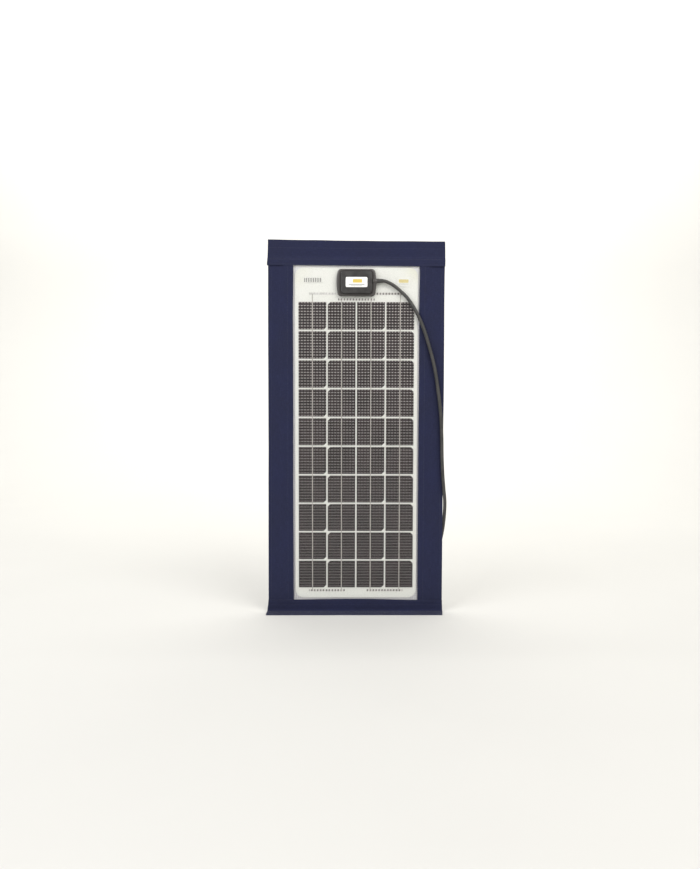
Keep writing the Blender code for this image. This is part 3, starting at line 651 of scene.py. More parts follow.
@dataclass(frozen=True)
class Ink(Finish):
    """Printed ink with a slightly broken cover."""

    base: Colour = (0.75, 0.60, 0.05)

    def paint(self, g: Graph) -> Material:
        """Build the ink's uneven cover."""
        cover = g.noise(g.place(), 900.0, 3.0)
        thin = tuple(min(1.0, c + 0.25) for c in self.base)
        colour = g.blend(g.band(cover, 0.55, 0.8, 0.0, 0.5), self.base, thin)
        return g.surface(Base_Color=colour, Roughness=g.band(cover, 0.3, 0.7, 0.4, 0.5))


@dataclass(frozen=True)
class Metal(Finish):
    """Turned or rolled metal with fine tool lines."""

    base: Colour = (0.62, 0.44, 0.20)
    rough: float = 0.28

    def paint(self, g: Graph) -> Material:
        """Build the tool lines and the tarnish."""
        line = g.noise(g.stretch(g.place(), 1.0, 1.0, 12.0), 350.0, 4.0)
        tarnish = g.noise(g.place(), 90.0, 4.0)
        colour = g.blend(g.band(tarnish, 0.4, 0.75, 0.0, 0.5), self.base, shade(self.base, 0.6))
        return g.surface(
            Base_Color=colour,
            Metallic=1.0,
            Roughness=g.band(line, 0.3, 0.7, self.rough, self.rough + 0.15),
            Normal=g.bump(line, 0.01 * MM),
        )


# Meshes


@dataclass
class Ring:
    """A row of a shell's points, with their places on the cloth."""

    ids: list[int]
    u: list[float]
    v: float


@dataclass
class Shell:
    """Points and faces on their way to becoming a mesh piece."""

    points: list[Vector] = field(default_factory=list)
    faces: list[tuple[int, ...]] = field(default_factory=list)
    corners: list[list[tuple[float, float]]] = field(default_factory=list)
    wear: list[float] = field(default_factory=list)
    slots: list[int] = field(default_factory=list)
    slot: int = 0

    def ring(self, points: Iterable[Vector], v: float = 0.0, wear: Sequence[float] = ()) -> Ring:
        """Add a row of points.

        Args:
            points: The points in order.
            v: The row's place along the cloth, in metres.
            wear: How rubbed each point is, from 0 to 1.

        Returns:
            The row, with lengths round it as its places across the cloth.
        """
        made = [Vector(p) for p in points]
        start = len(self.points)
        self.points += made
        self.wear += list(wear) or [0.0] * len(made)
        u = [0.0]
        for a, b in zip(made, made[1:] + made[:1]):
            u.append(u[-1] + (b - a).length)
        return Ring(list(range(start, start + len(made))), u, v)

    def face(self, ids: Sequence[int], corners: Outline | None = None) -> None:
        """Add one face."""
        self.faces.append(tuple(ids))
        self.corners.append(list(corners or [(self.points[i].x, self.points[i].z) for i in ids]))
        self.slots.append(self.slot)

    def bridge(self, a: Ring, b: Ring, closed: bool = True) -> None:
        """Join two rows of the same length with a band of faces."""
        count = len(a.ids)
        for i in range(count if closed else count - 1):
            j = (i + 1) % count
            corners = [(a.u[i], a.v), (a.u[i + 1], a.v), (b.u[i + 1], b.v), (b.u[i], b.v)]
            self.face((a.ids[i], a.ids[j], b.ids[j], b.ids[i]), corners)

    def cap(self, ring: Ring) -> None:
        """Close a row with one face."""
        self.face(ring.ids)

    def join(self, rings: Sequence[Ring], caps: bool = True, loop: bool = False) -> None:
        """Join rows in order, and close the first and last, or lead the last back to the first.

        Args:
            rings: The rows.
            caps: Whether the first and last are closed.
            loop: Whether the last is joined to the first.
        """
        for a, b in zip(rings, rings[1:] + (rings[:1] if loop else [])):
            self.bridge(a, b)
        if caps and not loop:
            self.cap(rings[0])
            self.cap(rings[-1])

    def loft(self, rows: Sequence[Sequence[Vector]], caps: bool = True) -> None:
        """Join closed rows in order, and close the first and last."""
        rings, v = [], 0.0
        for i, row in enumerate(rows):
            v += (Vector(row[0]) - Vector(rows[i - 1][0])).length if i else 0.0
            rings.append(self.ring(row, v))
        self.join(rings, caps)

    def piece(self, name: str, *finishes: Finish, sharp: float = 40.0) -> Piece:
        """Make the mesh piece.

        Args:
            name: The piece's name.
            *finishes: Its finishes, by slot number.
            sharp: Edges that turn by more than this many degrees stay crisp.

        Returns:
            The piece, in the scene.
        """
        mesh = bpy.data.meshes.new(name)
        mesh.from_pydata(self.points, [], self.faces)
        layer = mesh.uv_layers.new(name="cloth")
        flat = [xy for face in self.corners for corner in face for xy in corner]
        layer.data.foreach_set("uv", flat)
        mesh.attributes.new("wear", "FLOAT", "POINT").data.foreach_set("value", self.wear)
        mesh.polygons.foreach_set("material_index", self.slots)
        work = bmesh.new()
        work.from_mesh(mesh)
        bmesh.ops.recalc_face_normals(work, faces=work.faces)
        work.to_mesh(mesh)
        work.free()
        for finish in finishes:
            mesh.materials.append(finish.material())
        mesh.shade_smooth()
        mesh.set_sharp_from_angle(angle=math.radians(sharp))
        return show(name, mesh)


def show(name: str, data: Any) -> Piece:
    """Put new data in the scene as an object of that name."""
    made = bpy.data.objects.new(name, data)
    bpy.context.scene.collection.objects.link(made)
    return made


def carry(piece: Piece, body: str, slot: str, *nodes: str) -> Piece:
    """Let a piece ride on a body and stand for CAD nodes.

    Args:
        piece: The piece, in its place.
        body: The body that it moves with.
        slot: The record's material slot; not used.
        *nodes: CAD nodes that it replaces.

    Returns:
        The piece.
    """
    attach(piece, body)
    if nodes:
        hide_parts(*nodes)
    return piece


def dress(finish: Finish, *nodes: str) -> None:
    """Give CAD nodes a finish."""
    for name in nodes:
        for slot in frame["nodes"][name].material_slots:
            slot.material = finish.material()


def section(keys: Sequence[tuple[float, float, float]], step: float) -> list[tuple[float, float]]:
    """A closed outline with rounded corners, sampled closely.

    Args:
        keys: Corners as (across, depth, radius), in order.
        step: The longest gap between samples.

    Returns:
        The samples in order, without a repeat of the first.
    """
    count = len(keys)
    ends = []
    for i in range(count):
        here = Vector(keys[i][:2])
        before, after = Vector(keys[i - 1][:2]), Vector(keys[(i + 1) % count][:2])
        a, b = (before - here).normalized(), (after - here).normalized()
        angle = a.angle(b, math.pi)
        reach = keys[i][2] / max(math.tan(angle / 2), 1e-6)
        reach = min(reach, 0.48 * (before - here).length, 0.48 * (after - here).length)
        ends.append((here + a * reach, here, here + b * reach))
    found: list[tuple[float, float]] = []
    for i in range(count):
        start, corner, stop = ends[i]
        for k in range(7):
            t = k / 6
            found.append(tuple((1 - t) ** 2 * start + 2 * t * (1 - t) * corner + t * t * stop))
        following = ends[(i + 1) % count][0]
        gap = (following - stop).length
        for k in range(1, math.ceil(gap / step)):
            found.append(tuple(stop.lerp(following, k / math.ceil(gap / step))))
    return found


def rounded(
    width: float, height: float, radius: float, bulge: float = 0.0, arc: int = 7, run: int = 9
) -> list[Vector]:
    """A rounded rectangle about the origin, in x and z, whose left and right sides may bow out.

    Args:
        width: Its greatest width.
        height: Its height.
        radius: Its corner radius.
        bulge: How far the sides bow out past the corners.
        arc: Steps in each corner.
        run: Steps in each side.

    Returns:
        The points, always the same number for the same steps.
    """
    x, z = width / 2 - bulge - radius, height / 2 - radius
    line: list[Vector] = []
    for turn, (cx, cz) in enumerate(((x, z), (-x, z), (-x, -z), (x, -z))):
        for k in range(arc + 1):
            a = math.radians(90 * turn + 90 * k / arc)
            line.append(Vector((cx + radius * math.cos(a), 0, cz + radius * math.sin(a))))
        nx, nz = ((-x, z), (-x, -z), (x, -z), (x, z))[turn]
        out = math.radians(90 * turn + 90)
        before, after = line[-1], Vector((nx + radius * math.cos(out), 0, nz + radius * math.sin(out)))
        line += [before.lerp(after, k / run) for k in range(1, run)]
    for p in line:
        share = max(0.0, 1 - (2 * p.z / height) ** 2)
        p.x += math.copysign(bulge * share, p.x) if abs(p.x) > x * 0.98 else 0.0
    return line


def turned(shell: Shell, profile: Outline, y: float, z: float, sides: int = 40) -> None:
    """Add a round body about an axis along X.

    Args:
        shell: The shell that it joins.
        profile: Its outline as (x, radius), in order.
        y: The axis's y.
        z: The axis's height.
        sides: Facets round it.
    """
    rows = []
    for x, radius in profile:
        spin = [2 * math.pi * k / sides for k in range(sides)]
        rows.append([Vector((x, y + radius * math.cos(a), z + radius * math.sin(a))) for a in spin])
    shell.loft(rows)


# Canvas frame


class Side(Enum):
    """Left or right, as seen from the front."""

    LEFT = -1
    RIGHT = 1


@dataclass
class Stitching:
    """Rows of lockstitch, each stitch a short thread that dips into the cloth at both ends."""

    name: str
    body: str
    pitch: float = 3.5 * MM
    length: float = 2.7 * MM
    radius: float = 0.24 * MM
    form: tuple[Point, ...] = (
        (-1.0, 0.35, -0.20), (-0.55, 1.0, 0.14), (0.55, 1.0, 0.14), (1.0, 0.35, -0.20)
    )
    shell: Shell = field(default_factory=Shell)

    def row(self, place: Callable[[float], Vector], start: float, end: float, out: Vector) -> None:
        """Add a row.

        Args:
            place: Gives the cloth's surface at a distance along the row.
            start: Where the row starts.
            end: Where it ends.
            out: The way the surface faces.
        """
        count = int((end - start) / self.pitch)
        for i in range(count):
            middle = start + (i + 0.5) * self.pitch
            half = self.length / 2
            rows = []
            run = (place(middle + 0.5 * half) - place(middle - 0.5 * half)).normalized()
            side = run.cross(out).normalized()
            for t, thick, lift in self.form:
                centre = place(middle + t * half) + out * lift * MM
                r = self.radius * thick
                across, up = side * r, out * r * 0.8
                rows.append([centre + across, centre + up, centre - across, centre - up])
            self.shell.loft(rows, caps=False)

    def sew(self) -> Piece:
        """Make the piece of all its rows."""
        made = self.shell.piece(self.name, Thread("navy thread"), sharp=80.0)
        return carry(made, self.body, "navy_canvas")


@dataclass
class CanvasFrame:
    """Four strips of folded canvas round the laminate, and the free margins above and below."""

    window_half: float = 143.84 * MM
    strip: float = 57.2 * MM
    window_low: float = 28.0 * MM
    window_high: float = 796.0 * MM
    front: float = -1.2 * MM
    back: float = 5.25 * MM
    leaf: float = 0.9 * MM
    middle: float = 2.025 * MM
    hem: float = 2.0 * MM
    pocket: float = 10.3 * MM
    shoulder: float = 13.3 * MM
    fold_z: float = 818.5 * MM
    top: float = 853.2 * MM
    foot_front: float = -35.2 * MM
    step: float = 1.3 * MM
    finish: Canvas = Canvas("navy canvas")
    inner_left: Knots = (
        (0.04, -0.1436), (0.075, -0.1440), (0.30, -0.1445),
        (0.50, -0.1441), (0.69, -0.1444), (0.792, -0.1434),
    )
    inner_right: Knots = (
        (0.03, 0.1432), (0.36, 0.1432), (0.55, 0.1437), (0.72, 0.1433), (0.775, 0.1439), (0.792, 0.1438)
    )
    outer_left: Knots = (
        (0.028, -0.2026), (0.15, -0.2023), (0.30, -0.2019), (0.39, -0.2014),
        (0.60, -0.2014), (0.70, -0.2013), (0.79, -0.2009),
    )
    outer_right: Knots = (
        (0.028, 0.2007), (0.15, 0.2006), (0.40, 0.2007), (0.50, 0.2013),
        (0.60, 0.2012), (0.72, 0.2009), (0.775, 0.2011), (0.79, 0.2014),
    )
    top_left: Knots = (
        (0.796, -0.2031), (0.803, -0.2030), (0.810, -0.2024),
        (0.819, -0.2018), (0.830, -0.2013), (0.854, -0.2010),
    )
    top_right: Knots = ((0.796, 0.2019), (0.810, 0.2021), (0.828, 0.2019), (0.846, 0.2016), (0.854, 0.2013))
    top_edge: Knots = ((-0.20, 0.8549), (-0.11, 0.8536), (0.0, 0.8524), (0.09, 0.8518), (0.20, 0.8515))
    window_top: Knots = ((-0.144, 0.7968), (0.0, 0.7961), (0.144, 0.7949))
    window_bottom: Knots = ((-0.144, 0.0277), (0.0, 0.0293), (0.144, 0.0268))
    seams: tuple[float, ...] = (3.2 * MM, 12.4 * MM, 50.4 * MM)

    groove_depth: float = 0.22 * MM
    groove_half: float = 1.3 * MM
    short_side: float = 0.9 * MM
    hard_turn: float = 0.22
    steps: int = 80

    @property
    def width(self) -> float:
        """The canvas's whole width."""
        return 2 * (self.window_half + self.strip)

    def groove(self, place: float, seams: Sequence[float]) -> float:
        """How far a seam draws the cloth in at a place, in metres."""
        return max(self.groove_depth * max(0.0, 1 - ((place - s) / self.groove_half) ** 2) for s in seams)

    def in_pocket(self, depth: float, reach: float) -> bool:
        """Whether the cloth at a depth and a distance in from the window lines the pocket."""
        return self.front + 0.5 * MM < depth < self.back - 0.5 * MM and reach < self.pocket + 0.1 * MM

    def wear_of(self, outline: Outline) -> list[float]:
        """Rubbing at each point of a closed outline, high where it turns hard.

        Args:
            outline: The outline's samples.

        Returns:
            A value from 0 to 1 for each sample.
        """
        found = []
        for i, here in enumerate(outline):
            before, after = Vector(outline[i - 1]), Vector(outline[(i + 1) % len(outline)])
            a, b = Vector(here) - before, after - Vector(here)
            turn = a.angle(b, 0.0) if a.length and b.length else 0.0
            close = min(a.length, b.length) < self.short_side
            found.append(min(1.0, turn / self.hard_turn) if close else 0.0)
        return found

    def side_outline(self) -> list[tuple[float, float]]:
        """Section of a side strip as (distance out from the window, depth)."""
        half = self.hem / 2
        near, far = self.middle - half, self.middle + half
        flat = self.strip - 27 * MM
        keys = [
            (0, self.front, 0.42 * MM), (self.shoulder, self.front, 9 * MM), (flat, near, 9 * MM),
            (self.strip, near, 0.95 * MM), (self.strip, far, 0.95 * MM), (flat, far, 9 * MM),
            (self.shoulder, self.back, 9 * MM), (0, self.back, 0.42 * MM),
            (0, self.back - self.leaf, 0.42 * MM),
            (self.pocket, self.back - self.leaf, 0.2 * MM), (self.pocket, self.front + self.leaf, 0.2 * MM),
            (0, self.front + self.leaf, 0.42 * MM),
        ]
        return section(keys, self.step)

    def sway(self, x: float, z: float, out: float) -> float:
        """How far the free cloth stands off its mean plane, growing towards the outer edge."""
        return 0.9 * MM * smooth((out - 16 * MM) / (34 * MM)) * ripple(x, z, 3.0)

    def side_point(self, side: Side, out: float, depth: float, z: float) -> Vector:
        """Where a point of a side strip lies.

        Args:
            side: Which strip.
            out: Distance out from the window.
            depth: Depth behind the film's face.
            z: Height.

        Returns:
            The point.
        """
        left = side is Side.LEFT
        inner = along(self.inner_left if left else self.inner_right, z)
        outer = along(self.outer_left if left else self.outer_right, z)
        x = inner + (outer - inner) * out / self.strip
        facing = -1 if depth < self.middle else 1
        if not self.in_pocket(depth, out):
            depth -= facing * self.groove(out, self.seams)
            depth += facing * 0.28 * MM * swell(x, z, facing) * smooth(out / (4 * MM))
        return Vector((x, FACE + depth + self.sway(x, z, out), z))

    def build_side(self, side: Side, stitches: Stitching) -> Piece:
        """Build a side strip and its rows of stitches.

        Args:
            side: Which strip.
            stitches: The stitching that its rows join.

        Returns:
            The strip.
        """
        outline = self.side_outline()
        wear = self.wear_of(outline)
        low, high = self.window_low - 1.5 * MM, self.window_high + 1.5 * MM
        count = round((high - low) / (6 * MM))
        shell, rings = Shell(), []
        for i in range(count + 1):
            z = low + (high - low) * i / count
            rings.append(shell.ring([self.side_point(side, o, d, z) for o, d in outline], z, wear))
        shell.join(rings)
        name = f"canvas_{side.name.lower()}"
        made = shell.piece(f"{name}_cloth", self.finish, sharp=70.0)
        for way in (-1, 1):
            for out in self.seams:
                depth = self.skin(outline, out, way)
                place = partial(self.side_point, side, out, depth)
                stitches.row(place, low + 4 * MM, high - 4 * MM, Vector((0, way, 0)))
        return carry(made, "panel", "navy_canvas", name)

    def skin(self, outline: Outline, at: float, way: int) -> float:
        """Depth of an outline's foremost (way -1) or rearmost (way 1) sample near a place."""
        near = [depth for place, depth in outline if abs(place - at) < MM]
        return min(near) if way < 0 else max(near)

    def lap(self, x: float) -> float:
        """How far a cross strip stands proud where it lies over a side strip."""
        return 0.7 * MM * smooth((abs(x) - 140 * MM) / (6 * MM))

    def build_top(self, sewn: Stitching, free: Stitching) -> Piece:
        """Build the top strip and the free margin above it as one cloth, with a slight ridge at the fold.

        Args:
            sewn: Stitching that stays with the panel.
            free: Stitching that moves with the margin.

        Returns:
            The cloth.
        """
        half = self.hem / 2
        near, far = self.middle - half, self.middle + half
        low, shoulder, flat = self.window_high, self.window_high + self.shoulder, self.window_high + 19 * MM
        fold, top = self.fold_z, self.top
        keys = [
            (low, self.front, 0.42 * MM), (shoulder, self.front, 5 * MM), (flat, near, 4 * MM),
            (fold - 1.6 * MM, near, MM), (fold, near + 0.3 * MM, MM), (fold + 1.6 * MM, near, MM),
            (top, near, 0.95 * MM), (top, far, 0.95 * MM),
            (fold + 1.6 * MM, far, MM), (fold, far - 0.3 * MM, MM), (fold - 1.6 * MM, far, MM),
            (flat, far, 4 * MM), (shoulder, self.back, 5 * MM), (low, self.back, 0.42 * MM),
            (low, self.back - self.leaf, 0.42 * MM), (low + self.pocket, self.back - self.leaf, 0.2 * MM),
            (low + self.pocket, self.front + self.leaf, 0.2 * MM), (low, self.front + self.leaf, 0.42 * MM),
        ]
        outline = section(keys, self.step)
        seams = tuple(v * MM for v in (799.2, 811.0, 835.5, 850.2))

        def point(s: float, z: float, depth: float) -> Vector:
            """The cloth at a share s of its width, a height and a depth."""
            x = along(self.top_left, z) * (1 - s) + along(self.top_right, z) * s
            facing = -1 if depth < self.middle else 1
            inside = self.in_pocket(depth, z - low)
            edge = 1 - smooth((z - low) / (12 * MM))
            height = z + (along(self.window_top, x) - low) * edge
            above = max(0.0, z - fold) / (top - fold)
            height += above * (along(self.top_edge, x) - top)
            if not inside:
                depth -= facing * self.groove(z, seams)
                depth += facing * 0.25 * MM * swell(x, 3 * z, facing + 2)
            depth += facing * self.lap(x) * edge
            depth += 1.1 * MM * above * ripple(1.4 * x, z, 5.0)
            return Vector((x, FACE + depth, height))

        return self.sweep(
            "canvas_top_cloth", outline, point, seams,
            ("panel", "top_margin"),
            ((0, FACE + self.middle, fold - 2.2 * MM), (0, FACE + self.middle, fold + 2.2 * MM)),
            lambda z: sewn if z < fold else free, ("canvas_top", "top_flap"),
        )

    def build_bottom(self, sewn: Stitching, free: Stitching) -> Piece:
        """Build the bottom strip and the foot that lies forward on the floor as one bent cloth.

        Args:
            sewn: Stitching that stays with the panel.
            free: Stitching that moves with the foot.

        Returns:
            The cloth.
        """
        high, tip = self.window_low, self.foot_front
        near, far = self.front, self.middle + self.hem / 2
        keys = [
            (high, near, 0.42 * MM), (self.hem, near, 4.2 * MM),
            (self.hem, tip, 0.95 * MM), (0.0, tip, 0.95 * MM),
            (0.0, far, 2.4 * MM), (9 * MM, far, 4 * MM),
            (high - self.shoulder, self.back, 5 * MM), (high, self.back, 0.42 * MM),
            (high, self.back - self.leaf, 0.42 * MM), (high - self.pocket, self.back - self.leaf, 0.2 * MM),
            (high - self.pocket, near + self.leaf, 0.2 * MM), (high, near + self.leaf, 0.42 * MM),
        ]
        outline = section(keys, self.step)
        seams = (24.8 * MM, 15.4 * MM)
        row, width = tip + 6.5 * MM, self.width

        def point(s: float, z: float, depth: float) -> Vector:
            """The cloth at a share s of its width, a height and a depth."""
            forward = smooth((-4 * MM - depth) / (28 * MM))
            left = -0.2028 - 0.0022 * smooth((24 * MM - z) / (20 * MM)) - 0.0008 * forward
            right = 0.2007 + 0.0006 * smooth((24 * MM - z) / (20 * MM)) - 0.0034 * forward
            x = left * (1 - s) + right * s
            facing = -1 if depth < self.middle else 1
            inside = self.in_pocket(depth, high - z)
            edge = smooth((z - (high - 12 * MM)) / (12 * MM))
            height = z + (along(self.window_bottom, x) - high) * edge
            if depth > near - 0.5 * MM:
                if not inside:
                    depth -= facing * self.groove(z, seams)
                    depth += facing * 0.25 * MM * swell(x, 3 * z, facing + 8) * smooth(z / (6 * MM))
                depth += facing * self.lap(x) * edge
            elif z > 1.0 * MM:
                height -= self.groove(depth, (row,))
            if depth < near - 6 * MM:
                height += 0.35 * MM * swell(1.7 * x, depth, 6.0) * forward
                depth += 0.5 * MM * ripple(1.2 * x, 0.0, 9.0) * forward
            return Vector((x, FACE + depth, height))

        made = self.sweep(
            "canvas_bottom_cloth", outline, point, seams,
            ("panel", "bottom_margin"),
            ((0, FACE + near, 2.4 * MM), (0, FACE + near - 5.8 * MM, 2.4 * MM)),
            lambda z: sewn, ("canvas_bottom", "bottom_flap"),
        )
        free.row(lambda t: point(t / width, self.hem, row), 2 * MM, width - 2 * MM, Vector((0, 0, 1)))
        return made

    def sweep(
        self,
        name: str,
        outline: Outline,
        point: Callable[[float, float, float], Vector],
        seams: Sequence[float],
        bodies: tuple[str, str],
        bend: tuple[Point, Point],
        thread: Callable[[float], Stitching],
        nodes: tuple[str, ...],
    ) -> Piece:
        """Build a cross strip from its section, with its stitches.

        Args:
            name: The piece's name.
            outline: Its section as (height, depth).
            point: Places a section point at a share of the width.
            seams: Heights of its seams.
            bodies: Not used.
            bend: Where the bend starts and ends.
            thread: The stitching that a seam at a height belongs to.
            nodes: The CAD nodes that it stands for.

        Returns:
            The cloth.
        """
        wear = self.wear_of(outline)
        width = self.width
        shell, rings = Shell(), []
        for i in range(self.steps + 1):
            s = i / self.steps
            rings.append(shell.ring([point(s, z, d) for z, d in outline], s * width, wear))
        shell.join(rings)
        for z in seams:
            for way in (-1, 1):
                depth = self.skin(outline, z, way)
                facing = Vector((0, way, 0))
                thread(z).row(lambda t: point(t / width, z, depth), 2 * MM, width - 2 * MM, facing)
        made = shell.piece(name, self.finish, sharp=70.0)
        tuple(bend[0])
        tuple(bend[1])
        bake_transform(made)
        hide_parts(*nodes)
        return made

    def build(self) -> None:
        """Build the whole frame."""
        sewn = Stitching("stitches_frame", "panel")
        top_free = Stitching("stitches_top_margin", "top_margin")
        foot_free = Stitching("stitches_bottom_margin", "bottom_margin")
        left = self.build_side(Side.LEFT, sewn)
        right = self.build_side(Side.RIGHT, sewn)
        top = self.build_top(sewn, top_free)
        bottom = self.build_bottom(sewn, foot_free)
        threads = [s.sew() for s in (sewn, top_free, foot_free)]
        LOG.info("canvas frame: 4 cloths, %d pieces of stitching", len(threads))


# Laminate


@dataclass
class CellField:
    """Four strings of ten cells, each string with one ribbon down its middle."""

    cell: float = 62.5 * MM
    spread: float = 0.4 * MM
    corner: float = 6.2 * MM
    column_gap: float = 4.36 * MM
    row_gap: float = 3.7 * MM
    bottom: float = 56.0 * MM
    rows: int = 10
    face: float = 0.95 * MM
    thick: float = 0.3 * MM
    ribbon: float = 2.0 * MM
    ribbon_face: float = 0.80 * MM
    ribbon_end: float = 8.5 * MM
    outer_lead: float = 18.0 * MM
    inner_lead: float = 5.2 * MM
    cut_corners: tuple[tuple[int, int], ...] = ((1, -1), (-1, 1), (1, -1), (1, 1))

    def column(self, number: int) -> float:
        """The middle of a column, counted from 0 at the left."""
        return (number - 1.5) * (self.cell + self.column_gap)

    def row(self, number: int) -> float:
        """The bottom of a row, counted from 0 at the foot."""
        return self.bottom + number * (self.cell + self.row_gap)

    @property
    def top(self) -> float:
        """The top of the highest row."""
        return self.row(self.rows - 1) + self.cell

    def outline(self, x: float, z: float, cut: tuple[int, int]) -> list[Vector]:
        """A cell's outline with its one cut corner slightly rounded.

        Args:
            x: The cell's middle.
            z: The cell's middle.
            cut: The way from the middle to the cut corner.

        Returns:
            Its points, in x and z.
        """
        half, points = self.cell / 2, []
        for sx, sz in ((-1, -1), (1, -1), (1, 1), (-1, 1)):
            where = Vector((x + sx * (half + self.spread), 0, z + sz * half))
            reach = self.corner if (sx, sz) == cut else 0.5 * MM
            ways = (Vector((0, 0, -sz)), Vector((-sx, 0, 0)))
            first, second = ways if sx * sz > 0 else ways[::-1]
            bow = 0.18 if (sx, sz) == cut else 0.5
            for k in range(5):
                t = k / 4
                middle = where + (first + second) * reach * (0.5 - 0.5 * bow)
                a, b = where + first * reach, where + second * reach
                points.append((1 - t) ** 2 * a + 2 * t * (1 - t) * middle + t * t * b)
        return points

    def build_cells(self, number: int) -> Piece:
        """Build a string's ten cells as one piece."""
        shell = Shell()
        for row in range(self.rows):
            x, z = self.column(number), self.row(row) + self.cell / 2
            tilt = 0.05 * MM * ripple(5 * x, 7 * z, 2.0)
            line = self.outline(x, z, self.cut_corners[number])
            middle = Vector((x, 0, z))
            rows = []
            round_off = 0.06 * MM
            for depth, inset in ((self.thick, 0), (round_off, 0), (0, round_off)):
                back = Vector((0, FACE + (self.face + depth) + tilt * 0.2, 0))
                rows.append([p + (middle - p).normalized() * inset + back for p in line])
            shell.loft(rows)
        made = shell.piece(f"cells_{number + 1}", Silicon("cell silicon", self.top))
        return carry(made, "panel", "silicon", f"cell_string_{number + 1}")

    def build_ribbon(self, number: int, top: float, bottom: float) -> Piece:
        """Build a string's ribbon: soldered flat over the cells, and stepped down between them.

        Args:
            number: The column.
            top: Where the ribbon ends above.
            bottom: Where it ends below.

        Returns:
            The ribbon.
        """
        shell, rings = Shell(), []
        x, pitch = self.column(number), self.cell + self.row_gap
        count = round((top - bottom) / (1.6 * MM))
        for i in range(count + 1):
            z = bottom + (top - bottom) * i / count
            inside = 0 <= z - self.bottom <= self.top - self.bottom
            within = (z - self.bottom) % pitch
            on_cell = inside and within < self.cell
            inward = min(within, self.cell - within) if on_cell else 0.0
            down = 0.14 * MM * (1 - smooth(inward / (3 * MM)))
            joint = 0.10 * MM * max(0.0, math.cos(2 * math.pi * within / (12.5 * MM))) if on_cell else 0.0
            half = self.ribbon / 2 * (1.0 if on_cell else 0.8) + joint
            lift = self.ribbon_face + down - 0.4 * joint
            drift = 0.12 * MM * ripple(0.3, 2 * z, number + 1.0)
            back = self.ribbon_face + 0.20 * MM
            edge = lift + 0.06 * MM
            left = ((-half, back), (-half, edge), (-0.6 * half, lift))
            shape = (*left, *((-a, b) for a, b in reversed(left)))
            rings.append(shell.ring([Vector((x + a + drift, FACE + b, z)) for a, b in shape], z))
        shell.join(rings)
        solder = TinnedCopper("soldered ribbon", base=(0.56, 0.53, 0.49))
        return carry(shell.piece(f"ribbon_{number + 1}", solder, sharp=50.0), "panel", "tinned_copper")

    def build(self) -> None:
        """Build all strings."""
        for number in range(4):
            lead = self.outer_lead if number in (0, 3) else self.inner_lead
            self.build_cells(number)
            self.build_ribbon(number, self.top + lead, self.bottom - self.ribbon_end)
        LOG.info("cell field: %d cells in 4 strings", 4 * self.rows)


